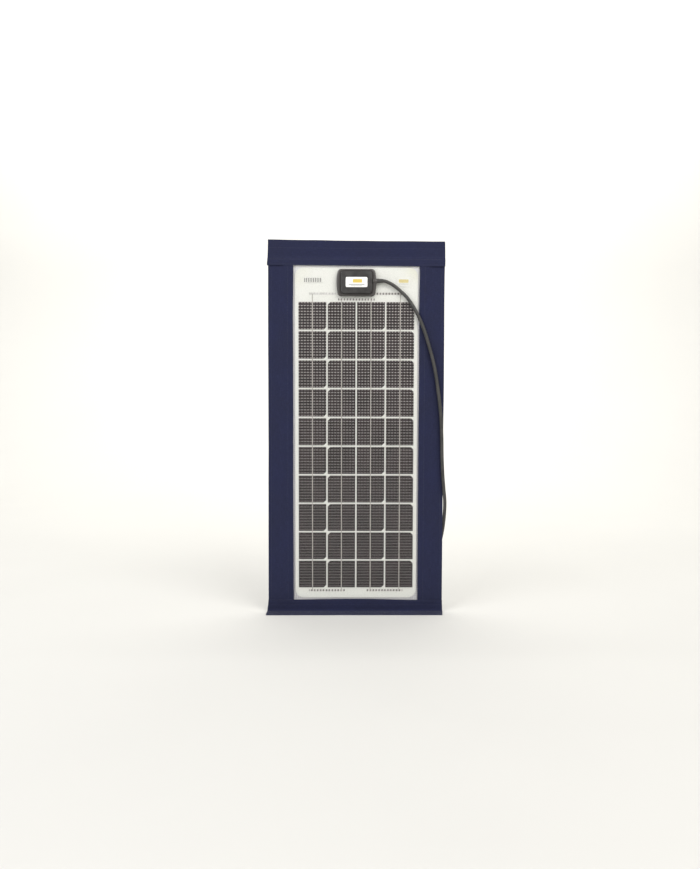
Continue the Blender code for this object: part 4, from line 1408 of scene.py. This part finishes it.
@dataclass
class Buses:
    """Crimped ribbons that link the strings and lead to the junction box."""

    cells: CellField
    width: float = 4.5 * MM
    overhang: float = 8.0 * MM
    crimp: float = 6.8 * MM
    depth: float = 1.40 * MM
    thick: float = 0.16 * MM
    wave: float = 0.10 * MM
    link_rise: float = 5.9 * MM
    lead_rise: float = 19 * MM
    foot_drop: float = 7 * MM
    turn_at: float = 17.75 * MM
    finish: TinnedCopper = TinnedCopper("crimped bus", crimp=6.8 * MM)
    # The last colour is the pale lead's painted crimp shade, kept light.
    pale: TinnedCopper = TinnedCopper("pale crimped bus", (0.88, 0.87, 0.85), 6.8 * MM, (0.62, 0.61, 0.60))

    def ribbon(self, shell: Shell, start: float, end: float, z: float) -> None:
        """Add a crimped ribbon along x.

        Args:
            shell: The shell that it joins.
            start: Its left end.
            end: Its right end.
            z: Its middle's height.
        """
        count = round((end - start) / (0.85 * MM))
        rings, half, d = [], self.width / 2, self.thick / 2
        for i in range(count + 1):
            x = start + (end - start) * i / count
            middle = FACE + self.depth + self.wave * math.cos(2 * math.pi * x / self.crimp)
            pinch = 0.18 * MM * math.sin(2 * math.pi * x / self.crimp)
            line = ((-half, -d), (half + pinch, -d), (half + pinch, d), (-half, d))
            rings.append(shell.ring([Vector((x, middle + b, z + a)) for a, b in line], x))
        shell.join(rings)

    def link(self, name: str, start: float, end: float, z: float) -> None:
        """Build a plain link between strings, in the place of the CAD node of that name."""
        shell = Shell()
        self.ribbon(shell, start, end, z)
        carry(shell.piece(f"{name}_ribbon", self.finish, sharp=60.0), "panel", "tinned_copper", name)

    def lead(self, side: Side, start: float, end: float, z: float, finish: TinnedCopper) -> None:
        """Build a lead to the junction box, which turns forward through the slot to its clamp.

        Args:
            side: Which lead.
            start: Its outer end.
            end: Where it turns.
            z: Its middle's height.
            finish: Its metal.
        """
        name = f"bus_top_{side.name.lower()}"
        low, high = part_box(name)
        shell = Shell()
        self.ribbon(shell, min(start, end), max(start, end), z)
        turn = sorted((end, end + side.value * self.width))
        back = FACE + self.depth
        path = (
            (z - 2 * MM, back), (746.3 * MM, back), (747.6 * MM, back - 1.2 * MM),
            (748.0 * MM, low.y + 2.2 * MM), (748.6 * MM, low.y + 0.5 * MM),
            (high.z - 0.2 * MM, low.y + 0.4 * MM),
        )
        rows = []
        for i, (height, y) in enumerate(path):
            before, after = Vector(path[max(0, i - 1)]), Vector(path[min(len(path) - 1, i + 1)])
            run = (after - before).normalized() * self.thick / 2
            a, b = Vector((0, -run.x, run.y)), Vector((0, y, height))
            left, right = (Vector((x, 0, 0)) for x in turn)
            rows.append([b + a + left, b + a + right, b - a + right, b - a + left])
        shell.loft(rows)
        carry(shell.piece(f"{name}_ribbon", finish, sharp=60.0), "panel", "tinned_copper", name)

    def build(self) -> None:
        """Build the links and the two leads."""
        inner, outer, past = self.cells.column(2), self.cells.column(3), self.overhang
        foot = self.cells.bottom - self.foot_drop
        self.link("bus_top_link", -inner - past, inner + past, self.cells.top + self.link_rise)
        self.link("bus_bottom_left", -outer - past, -inner + past, foot)
        self.link("bus_bottom_right", inner - past, outer + past, foot)
        level = self.cells.top + self.lead_rise
        for side, finish in ((Side.LEFT, self.pale), (Side.RIGHT, self.finish)):
            self.lead(side, side.value * (outer + past), side.value * self.turn_at, level, finish)
        LOG.info("buses: 3 links and 2 leads")


def printed(name: str, finish: Ink, y: float, marks: Sequence[tuple[float, ...]]) -> Piece:
    """Print rounded patches.

    Args:
        name: The piece's name.
        finish: Its ink.
        y: The face that they are printed on.
        marks: Each patch as (x, z, width, height, corner radius).

    Returns:
        The print, as one piece.
    """
    shell = Shell()
    for x, z, width, height, radius in marks:
        line = rounded(width, height, radius, arc=4, run=3)
        middle = Vector((x, 0, z))
        shell.loft([[middle + p + Vector((0, y - d, 0)) for p in line] for d in (0.0, PRINT_DEPTH)])
    return carry(shell.piece(name, finish), "panel", "white_paper")


@dataclass
class Slips:
    """Plain printed slips in the white field: evenly spaced ticks, and a pale bar."""

    tick: float = 1.7 * MM
    tall: float = 9.4 * MM
    pitch: float = 4.0 * MM
    count: int = 10
    sunk: float = 0.02 * MM

    def slip(self, node: str) -> tuple[Vector, Vector]:
        """Build a slip with soft corners over its CAD node and return the node's box."""
        low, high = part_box(node)
        line = rounded(high.x - low.x, high.z - low.z, 1.2 * MM, arc=4, run=4)
        middle = Vector(((low.x + high.x) / 2, 0, (low.z + high.z) / 2))
        shell = Shell()
        shell.loft([[middle + p + Vector((0, y, 0)) for p in line] for y in (high.y, low.y + self.sunk)])
        paper = Paper("white slip", base=(0.86, 0.865, 0.83))
        carry(shell.piece(f"{node}_slip", paper), "panel", "white_paper", node)
        return low, high

    def build(self) -> None:
        """Build both slips and their print."""
        low, high = self.slip("serial_label")
        x, z, y = (low.x + high.x) / 2, (low.z + high.z) / 2, low.y + self.sunk
        start = x - (self.count - 1) / 2 * self.pitch
        ticks = [(start + i * self.pitch, z, self.tick, self.tall, 0.3 * MM) for i in range(self.count)]
        printed("serial_ticks", Ink("grey ink", base=(0.10, 0.095, 0.095)), y, ticks)
        low, high = self.slip("rating_label")
        x, z, y = (low.x + high.x) / 2, (low.z + high.z) / 2, low.y + self.sunk
        for name, ink, mark in (
            ("rating_bar", Ink("pale yellow ink", base=(0.72, 0.62, 0.30)), (1.5 * MM, 7.5 * MM, 1.6 * MM)),
            ("rating_line", Ink("pale grey ink", base=(0.48, 0.48, 0.46)), (-5.0 * MM, 1.2 * MM, 0.4 * MM)),
        ):
            rise, tall, radius = mark
            printed(name, ink, y, [(x, z + rise, 22 * MM, tall, radius)])
        LOG.info("slips: %d ticks and a bar", self.count)


@dataclass
class Laminate:
    """Films, white field and carrier plate, with the cells and buses between them."""

    def build(self) -> None:
        """Dress the CAD sheets and build what they hold."""
        dress(ClearFilm("clear film"), "front_film")
        dress(Backing("white field"), "backing_film")
        dress(GreyFilm("grey rear film"), "rear_film")
        dress(Metal("carrier aluminium", base=(0.70, 0.71, 0.72), rough=0.35), "carrier_plate")
        cells = CellField()
        cells.build()
        Buses(cells).build()
        Slips().build()


# Junction box


@dataclass
class JunctionBox:
    """Low box with bowed sides, a raised lid and a plain label."""

    width: float = 91.0 * MM
    height: float = 61.6 * MM
    bulge: float = 4.2 * MM
    corner: float = 6.0 * MM
    z: float = 757.3 * MM
    lid_width: float = 72.0 * MM
    lid_height: float = 51.0 * MM
    lid_corner: float = 7.0 * MM
    recess: tuple[float, float] = (52.6 * MM, 26.6 * MM)
    recess_corner: float = 3.6 * MM
    plastic: Moulded = Moulded("satin lid", base=(0.017, 0.015, 0.015), rough=0.38)
    rim: Moulded = Moulded("satin rim", base=(0.050, 0.045, 0.043), rough=0.34)

    def rows(
        self,
        size: tuple[float, float],
        corner: float,
        profile: Outline,
        ease: float = 0.0,
        bulge: float = 0.0,
    ) -> list[list[Vector]]:
        """Outlines of the box, one inside another.

        Args:
            size: Width and height without an inset.
            corner: The corner radius without an inset.
            profile: Each outline's inset and depth, in millimetres.
            ease: How much of an inset comes off the corner radius.
            bulge: How far the sides bow out.

        Returns:
            The outlines in order.
        """
        found = []
        for inset, depth in profile:
            i = inset * MM
            line = rounded(size[0] - 2 * i, size[1] - 2 * i, corner - ease * i, bulge)
            found.append([p + Vector((0, FACE + depth * MM, self.z)) for p in line])
        return found

    def build_base(self) -> None:
        """Build the base: drafted sides, a rolled rim, a groove round the lid, and the cable boss."""
        shell = Shell()
        side = (
            (1.2, -1.6), (0.4, -2.0), (0.0, -3.0), (0.3, -6.5),
            (0.7, -8.6), (1.3, -9.7), (2.2, -10.35), (3.4, -10.6),
        )
        groove = ((0.0, -10.55), (0.5, -10.35), (0.8, -9.7))
        inner = (self.lid_width + 3.4 * MM, self.lid_height + 2.6 * MM)
        rows = self.rows((self.width, self.height), self.corner, side, 0.3, self.bulge)
        shell.loft(rows + self.rows(inner, self.lid_corner + 0.5 * MM, groove))
        low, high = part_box("cable_gland")
        boss = (
            (36.4, 5.0), (37.0, 5.75), (41.0, 5.75), (45.6, 5.65),
            (46.2, 5.4), (46.5, 5.1), (46.5, 4.95), (45.2, 4.95),
        )
        turned(shell, [(x * MM, r * MM) for x, r in boss], (low.y + high.y) / 2, (low.z + high.z) / 2)
        carry(shell.piece("junction_base", self.rim, sharp=35.0), "panel", "black_plastic", "box_base")

    def build_lid(self) -> None:
        """Build the lid: rolled edge, faint draft and a recess for the label."""
        shell = Shell()
        side = (
            (1.6, -12.4), (0.6, -12.0), (0.0, -12.4), (0.2, -14.5),
            (0.5, -15.8), (1.0, -16.6), (1.7, -17.05), (2.6, -17.2),
        )
        recess = ((0.0, -17.2), (0.2, -17.05), (0.4, -17.0))
        rows = self.rows((self.lid_width, self.lid_height), self.lid_corner, side, 0.5)
        shell.loft(rows + self.rows(self.recess, self.recess_corner, recess, 1.0))
        carry(shell.piece("junction_lid", self.plastic, sharp=35.0), "panel", "black_plastic", "box_lid")

    def build_label(self) -> None:
        """Build the label with a plain bar and two thin lines."""
        low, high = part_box("box_label")
        width, height = high.x - low.x - MM, high.z - low.z - 1.4 * MM
        shell, rows = Shell(), []
        for inset, y in ((0.0, high.y + 0.2 * MM), (0.0, low.y + 0.06 * MM), (0.15 * MM, low.y)):
            line = rounded(width - 2 * inset, height - 2 * inset, 3 * MM - inset)
            rows.append([p + Vector((0, y, self.z)) for p in line])
        shell.loft(rows)
        label = shell.piece("junction_label", Paper("white label"), sharp=35.0)
        carry(label, "panel", "white_paper", "box_label")
        bar = ((2.0, 2.6, 21.0, 8.0, 1.6),)
        lines = ((0.0, -5.0, 36.0, 1.9, 0.5), (0.0, -8.4, 26.0, 1.1, 0.3))
        for name, ink, marks in (
            ("label_bar", Ink("yellow ink", base=(0.62, 0.46, 0.09)), bar),
            ("label_lines", Ink("soft grey ink", base=(0.25, 0.25, 0.25)), lines),
        ):
            placed = [(x * MM, self.z + z * MM, *(v * MM for v in rest)) for x, z, *rest in marks]
            printed(name, ink, low.y, placed)

    def build(self) -> None:
        """Build the box and dress what is inside it."""
        self.build_base()
        self.build_lid()
        self.build_label()
        dress(Jacket("gasket rubber"), "box_pad", "lid_gasket", "cable_gland", "core_plus")
        dress(Jacket("brown core", base=(0.10, 0.045, 0.02)), "core_minus")
        dress(Moulded("board", base=(0.03, 0.09, 0.05), rough=0.5), "terminal_board")
        dress(Moulded("diode black", base=(0.02, 0.02, 0.022), rough=0.3), "bypass_diode_1", "bypass_diode_2")
        dress(Metal("clamp brass"), "terminal_plus", "terminal_minus")
        LOG.info("junction box: base, lid, label and fittings")


# Cable


@dataclass
class Cable:
    """Round two-core cable from the box's gland to the plug, its spare length in a hank behind the panel."""

    radius: float = 3.9 * MM
    length: float = 2.5
    hank: Point = (1.5 * MM, 60.0 * MM, 5.1 * MM)
    run: float = 117.0 * MM
    fold: float = 24.0 * MM
    layer: float = 8.0 * MM
    layers: int = 4
    plug_start: Point = (113.5 * MM, 76.2 * MM, 11.8 * MM)
    route: tuple[Point, ...] = (
        (37, 5.9, 760.8), (62, 5.9, 760.8), (72, 6.0, 757.5), (83.5, 6.3, 751.5), (97, 6.8, 741),
        (114, 7.2, 725), (129.5, 7.5, 703), (143.6, 7.7, 677), (155, 7.8, 649), (166, 7.8, 614),
        (178, 7.9, 569), (187, 8.0, 515), (193.5, 8.1, 460), (196.5, 8.2, 410), (197.5, 8.3, 365),
        (199.3, 8.5, 325), (202.4, 10.0, 288), (205.2, 12.9, 263), (205.8, 15.6, 245), (205.4, 18.6, 227),
        (203.6, 21.6, 203), (200, 24.6, 177), (193, 28, 146), (184, 31, 115), (174, 33.5, 86),
        (163.5, 35.2, 59), (153, 36, 37), (141, 36, 19), (127, 36, 8.4), (112, 36, 4.7), (100, 36, 4.7),
        (81, 36, 5.1),
    )

    def folded(self) -> list[Vector]:
        """The hank's centreline: stacked turns, each rising at its last fold, and a run to end with."""
        line: list[Vector] = []
        x, y, z = self.hank
        for number in range(self.layers):
            height = z + number * self.layer
            for side, rise in ((-1, 0.0), (1, self.layer)):
                for k in range(1, 16):
                    line.append(Vector((x - side * self.run * (0.5 - k / 15), y + side * self.fold, height)))
                if side > 0 and number == self.layers - 1:
                    return line
                for k in range(1, 18):
                    t = k / 18
                    out = self.run / 2 + self.fold * math.sin(math.pi * t)
                    across = self.fold * math.cos(math.pi * t)
                    line.append(Vector((x + side * out, y + side * across, height + rise * smooth(t))))
        return line

    def tail(self, start: Vector) -> list[Vector]:
        """The way down from the top of the hank to the plug: two equal bends, one after the other."""
        end, line = Vector(self.plug_start), []
        for k in range(1, 25):
            t = k / 24
            share = 2 * t * t if t < 0.5 else 1 - 2 * (1 - t) ** 2
            line.append(Vector((start.x + (end.x - start.x) * t, *(start.yz.lerp(end.yz, share)))))
        return line

    def centreline(self) -> list[Vector]:
        """The whole cable's centreline, closely sampled."""
        x, y, z = self.hank
        first = Vector((x + self.run / 2, y - self.fold, z))
        open_run = through([*(Vector(p) * MM for p in self.route), first], 4 * MM)
        hank = self.folded()
        return [*open_run, *hank, *self.tail(hank[-1])]

    def build_cord(self) -> Piece:
        """Build the cable as one open curve."""
        line = self.centreline()
        data = bpy.data.curves.new("cable_run", "CURVE")
        data.dimensions = "3D"
        data.bevel_depth = self.radius
        data.bevel_resolution = 5
        data.use_fill_caps = True
        spline = data.splines.new("POLY")
        spline.points.add(len(line) - 1)
        for target, p in zip(spline.points, line):
            target.co = (*p, 1.0)
        spline.use_smooth = True
        data.materials.append(Jacket("cable jacket").material())
        return carry(show("cable_run", data), "panel", "black_rubber", "cable", "cable_hank", "cable_tail")

    def build_relief(self) -> Piece:
        """Build the strain relief: a ribbed, tapering rubber sleeve."""
        low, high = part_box("strain_relief")
        y, z = (low.y + high.y) / 2, (low.z + high.z) / 2
        start, end = low.x, high.x
        profile = [(start, self.radius + 0.15 * MM), (start, 5.1 * MM)]
        count, ribbed = 6, end - start - 1.6 * MM
        for i in range(count):
            x = start + 0.6 * MM + ribbed * i / count
            big = 5.35 * MM - 0.75 * MM * i / count
            small, wide = big - 0.35 * MM, ribbed / count
            steps = ((0.15, big), (0.60, big), (0.72, small), (0.92, small))
            profile += [(x + t * wide, r) for t, r in steps]
        profile += [(end - 0.4 * MM, 4.45 * MM), (end, self.radius + 0.15 * MM)]
        shell = Shell()
        turned(shell, profile, y, z)
        made = shell.piece("relief_sleeve", Jacket("relief rubber"), sharp=35.0)
        return carry(made, "panel", "black_rubber", "strain_relief")

    def build_tie(self, number: int) -> Piece:
        """Build a strap round one side of the hank, with its free end lapped over the top."""
        low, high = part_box(f"hank_tie_{number}")
        middle, thick = (low + high) / 2, 0.75 * MM
        side, half_x = (-1 if number == 1 else 1), 6.6 * MM
        half_y, half_z = (high.y - low.y) / 2, (high.z - low.z) / 2
        line = [Vector((p.x, p.z)) for p in rounded(2 * half_y, 2 * half_z, 4.2 * MM, arc=6, run=6)]
        shell, rings = Shell(), []
        for i, at in enumerate(line):
            run = (line[(i + 1) % len(line)] - line[i - 1]).normalized()
            inward = Vector((run.y, -run.x))
            if inward.dot(at) > 0:
                inward = -inward
            row = []
            for x, d in ((-half_x, 0), (half_x, 0), (half_x, thick), (-half_x, thick)):
                place = at + inward * d
                row.append(Vector((middle.x + x, middle.y + place.x, middle.z + place.y)))
            rings.append(shell.ring(row, i * 2 * MM))
        shell.join(rings, loop=True)
        lap, edge = [], half_x - 0.8 * MM
        for y, lift in ((0.62, -0.1), (0.55, 0.3), (0.0, 0.35), (-0.5, 0.35), (-0.62, 0.3)):
            top, at = high.z + lift * MM, middle.y + side * half_y * y
            ends = ((-edge, 0), (edge, 0), (edge, -0.3 * MM), (-edge, -0.3 * MM))
            lap.append([Vector((middle.x + x, at, top + d)) for x, d in ends])
        shell.loft(lap)
        made = shell.piece(f"hank_strap_{number}", Strap("hook strap"), sharp=50.0)
        return carry(made, "panel", "black_rubber", f"hank_tie_{number}")

    def build(self) -> tuple[Piece, list[Any]]:
        """Build the cable, its sleeve and its straps.

        Returns:
            The cable, and the pieces on it.
        """
        cord = self.build_cord()
        relief = self.build_relief()
        straps = [self.build_tie(number) for number in (1, 2)]
        line = self.centreline()
        LOG.info("cable: %.3f m along its centreline", sum((b - a).length for a, b in zip(line, line[1:])))
        return cord, [relief, *straps]


@dataclass
class Plug:
    """Round waterproof two-pin plug: boot, shell, knurled coupling ring, insert, pins and seal."""

    y: float = 76.2 * MM
    z: float = 11.8 * MM
    grip: float = 11.7
    grip_flute: float = 0.6 * MM
    grip_teeth: int = 18
    ring_length: float = 15.4 * MM
    ring_flute: float = 0.55 * MM
    ring_teeth: int = 16
    plastic: Moulded = Moulded("plug plastic", base=(0.028, 0.028, 0.030), rough=0.36)
    ring_plastic: Moulded = Moulded("ring plastic", base=(0.055, 0.056, 0.060), rough=0.32)

    def build_boot(self) -> Piece:
        """Build the bend boot, ringed with grooves."""
        low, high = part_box("plug_boot")
        start, end = low.x, high.x
        profile = [(start, 4.05 * MM), (start, 4.5 * MM)]
        count = 7
        for i in range(count):
            x = start + (end - 9 * MM - start) * (i + 0.25) / count
            r = 4.6 * MM + 2.6 * MM * (i + 0.25) / count
            steps = ((0.0, 0.0), (2.2, 0.25), (2.5, -0.7), (3.4, -0.6))
            profile += [(x + a * MM, r + b * MM) for a, b in steps]
        profile += [(end - a * MM, r * MM) for a, r in ((8, 7.5), (7, 7.95), (0.5, 8.0), (0, 7.6))]
        shell = Shell()
        turned(shell, profile, self.y, self.z)
        made = shell.piece("plug_bend_boot", Jacket("boot rubber"), sharp=35.0)
        return carry(made, "panel", "black_rubber", "plug_boot")

    def fluted(self, x: float, radius: float, depth: float, teeth: int) -> list[Vector]:
        """A row round the plug's axis with a rounded flute between each pair of teeth.

        Args:
            x: Where it is along the axis.
            radius: Over the lands.
            depth: Of the flutes.
            teeth: How many.

        Returns:
            The row's points.
        """
        row, sides = [], teeth * 6
        for k in range(sides):
            a = 2 * math.pi * k / sides
            r = radius - depth * max(0.0, -math.cos(teeth * a)) ** 0.6
            row.append(Vector((x, self.y + r * math.cos(a), self.z + r * math.sin(a))))
        return row

    def build_shell(self) -> Piece:
        """Build the shell with its grip and its socket."""
        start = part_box("plug_shell")[0].x
        shell, rows = Shell(), []
        sleeve = ((6, 0, 0.8), (6.3, 0.2, 0.25), (6.7, 1, 0), (12.3, 1, 0), (12.7, 0.2, 0.25), (13, 0, 0.8))
        for x, share, drop in sleeve:
            radius, depth = (self.grip - drop) * MM, self.grip_flute * share
            rows.append(self.fluted(start + x * MM, radius, depth, self.grip_teeth))
        shell.loft(rows)
        profile = (
            (0.0, 7.4), (0.3, 8.0), (1.2, 8.6), (5.4, 9.6), (6.1, 9.9), (6.4, 10.4), (12.6, 10.6),
            (13.4, 10.4), (19.4, 10.4), (19.9, 10.0), (20.0, 8.0), (36.2, 8.0), (36.4, 8.9), (36.7, 9.2),
            (37.8, 9.2), (38.0, 9.0), (38.0, 6.9), (37.8, 6.8), (26.1, 6.8),
        )
        turned(shell, [(start + x * MM, r * MM) for x, r in profile], self.y, self.z, 48)
        made = shell.piece("plug_body", self.plastic, sharp=35.0)
        return carry(made, "panel", "black_plastic", "plug_shell")

    def build_ring(self) -> Piece:
        """Build the coupling ring as a hollow fluted sleeve."""
        low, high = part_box("plug_ring")
        span = (high.x - low.x) / self.ring_length
        profile = (
            (0.0, 9.9, 0.0), (0.35, 10.4, 0.3), (1.2, 10.7, 1.0), (14.0, 10.7, 1.0),
            (15.0, 10.4, 0.3), (15.4, 9.9, 0.0), (15.4, 8.3, 0.0), (0.0, 8.3, 0.0),
        )
        shell, rings = Shell(), []
        for i, (x, r, share) in enumerate(profile):
            row = self.fluted(low.x + x * MM * span, r * MM, self.ring_flute * share, self.ring_teeth)
            rings.append(shell.ring(row, i * MM))
        shell.join(rings, loop=True)
        made = shell.piece("plug_coupling", self.ring_plastic, sharp=35.0)
        return carry(made, "coupling_ring", "ring_plastic", "plug_ring")

    def build(self) -> list[Any]:
        """Build the plug and return its pieces, CAD nodes among them."""
        boot, body, ring = self.build_boot(), self.build_shell(), self.build_ring()
        dress(Moulded("insert plastic", base=(0.045, 0.045, 0.045), rough=0.5), "plug_insert")
        dress(Metal("pin brass"), "plug_pin_plus", "plug_pin_minus")
        dress(Jacket("seal rubber", base=(0.12, 0.035, 0.02)), "plug_seal")
        LOG.info("plug: boot, body, coupling ring and insert")
        nodes = [frame["nodes"][n] for n in ("plug_insert", "plug_pin_plus", "plug_pin_minus", "plug_seal")]
        return [boot, body, ring, *nodes]


# Studio


@dataclass(frozen=True)
class Backdrop(Finish):
    """Matt white studio sweep."""

    base: Colour = (0.665, 0.658, 0.635)

    def paint(self, g: Graph) -> Material:
        """Build a very slight unevenness."""
        cloud = g.noise(g.place(), 2.0, 2.0)
        colour = g.blend(g.band(cloud, 0.3, 0.7), self.base, shade(self.base, 0.985))
        return g.surface(Base_Color=colour, Roughness=0.85, Specular_IOR_Level=0.1)


@dataclass
class Studio:
    """White sweep, soft lights and the camera."""

    eye: Point = (-0.032, -1.911, 0.529)
    pitch: float = 3.50
    yaw: float = 0.54
    roll: float = 0.11
    sensor: float = 36.0
    zoom: float = 833 / 700
    half_floor: float = 9.0
    flat: float = 1.7
    bend: float = 1.2
    height: float = 4.2

    def build_sweep(self) -> None:
        """Build the floor that curves up into a wall."""
        shell, bend, far = Shell(), self.bend, self.half_floor
        line = [(-far, 0.0), (-3.0, 0.0), (0.4, 0.0), (self.flat, 0.0)]
        for k in range(1, 13):
            a = math.radians(90 * k / 12)
            line.append((self.flat + bend * math.sin(a), bend - bend * math.cos(a)))
        line.append((self.flat + bend, self.height))
        rings = [shell.ring([Vector((x, y, z)) for x in (-far, -3.0, 3.0, far)], y) for y, z in line]
        for a, b in zip(rings, rings[1:]):
            shell.bridge(a, b, closed=False)
        shell.piece("sweep", Backdrop("studio white"), sharp=60.0)

    def build_light(
        self, name: str, place: Point, aim: Point, size: tuple[float, float], power: float, colour: Colour
    ) -> None:
        """Add a soft box.

        Args:
            name: The light's name.
            place: Where it hangs.
            aim: What it faces.
            size: Its width and height.
            power: Its power in watts.
            colour: Its colour.
        """
        data = bpy.data.lights.new(name, "AREA")
        data.shape = "RECTANGLE"
        data.size, data.size_y = size
        data.energy = power
        data.color = colour
        light = show(name, data)
        light.location = place
        light.rotation_euler = (Vector(aim) - Vector(place)).to_track_quat("-Z", "Y").to_euler()

    def build_camera(self) -> None:
        """Place the camera and make it the scene's."""
        data = bpy.data.cameras.new("camera")
        data.sensor_fit = "HORIZONTAL"
        data.sensor_width = self.sensor
        data.lens = self.zoom * self.sensor
        data.clip_start, data.clip_end = 0.05, 30.0
        p, y, r = (math.radians(a) for a in (self.pitch, self.yaw, self.roll))
        ahead = Vector((math.sin(y) * math.cos(p), math.cos(y) * math.cos(p), -math.sin(p)))
        right = ahead.cross(Vector((0, 0, 1))).normalized()
        up = right.cross(ahead)
        right = right * math.cos(r) + up * math.sin(r)
        up = right.cross(ahead)
        camera = show("camera", data)
        turn = Matrix((right, up, -ahead)).transposed().to_4x4()
        camera.matrix_world = Matrix.Translation((self.eye[0], FACE + self.eye[1], self.eye[2])) @ turn
        bpy.context.scene.camera = camera

    def build(self) -> None:
        """Build the whole studio."""
        self.build_sweep()
        self.build_camera()
        self.build_light("key", (1.3, -1.8, 2.1), (0.0, 0.0, 0.42), (1.9, 1.9), 47.0, (1.0, 0.985, 0.955))
        self.build_light("fill", (-1.7, -1.7, 1.7), (0.0, 0.0, 0.4), (2.0, 2.0), 38.0, (0.98, 0.985, 1.0))
        self.build_light("wall", (0.0, 1.0, 3.4), (0.0, 2.9, 2.3), (4.2, 1.2), 138.0, (1.0, 0.992, 0.960))
        world = bpy.data.worlds.new("studio air")
        world.use_nodes = True
        sky = world.node_tree.nodes["Background"]
        sky.inputs["Color"].default_value = (1.0, 0.995, 0.98, 1.0)
        sky.inputs["Strength"].default_value = 0.62
        bpy.context.scene.world = world
        bpy.context.scene.view_settings.view_transform = "Standard"
        LOG.info("studio: sweep, 3 lights and camera")


def main() -> None:
    """Build everything in order."""
    logging.basicConfig(level=logging.INFO, format="%(name)s: %(message)s")
    Studio().build()
    cord, on_cord = Cable().build()
    plug = Plug().build()
    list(on_cord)
    CanvasFrame().build()
    Laminate().build()
    JunctionBox().build()


if __name__ == "__main__":
    main()
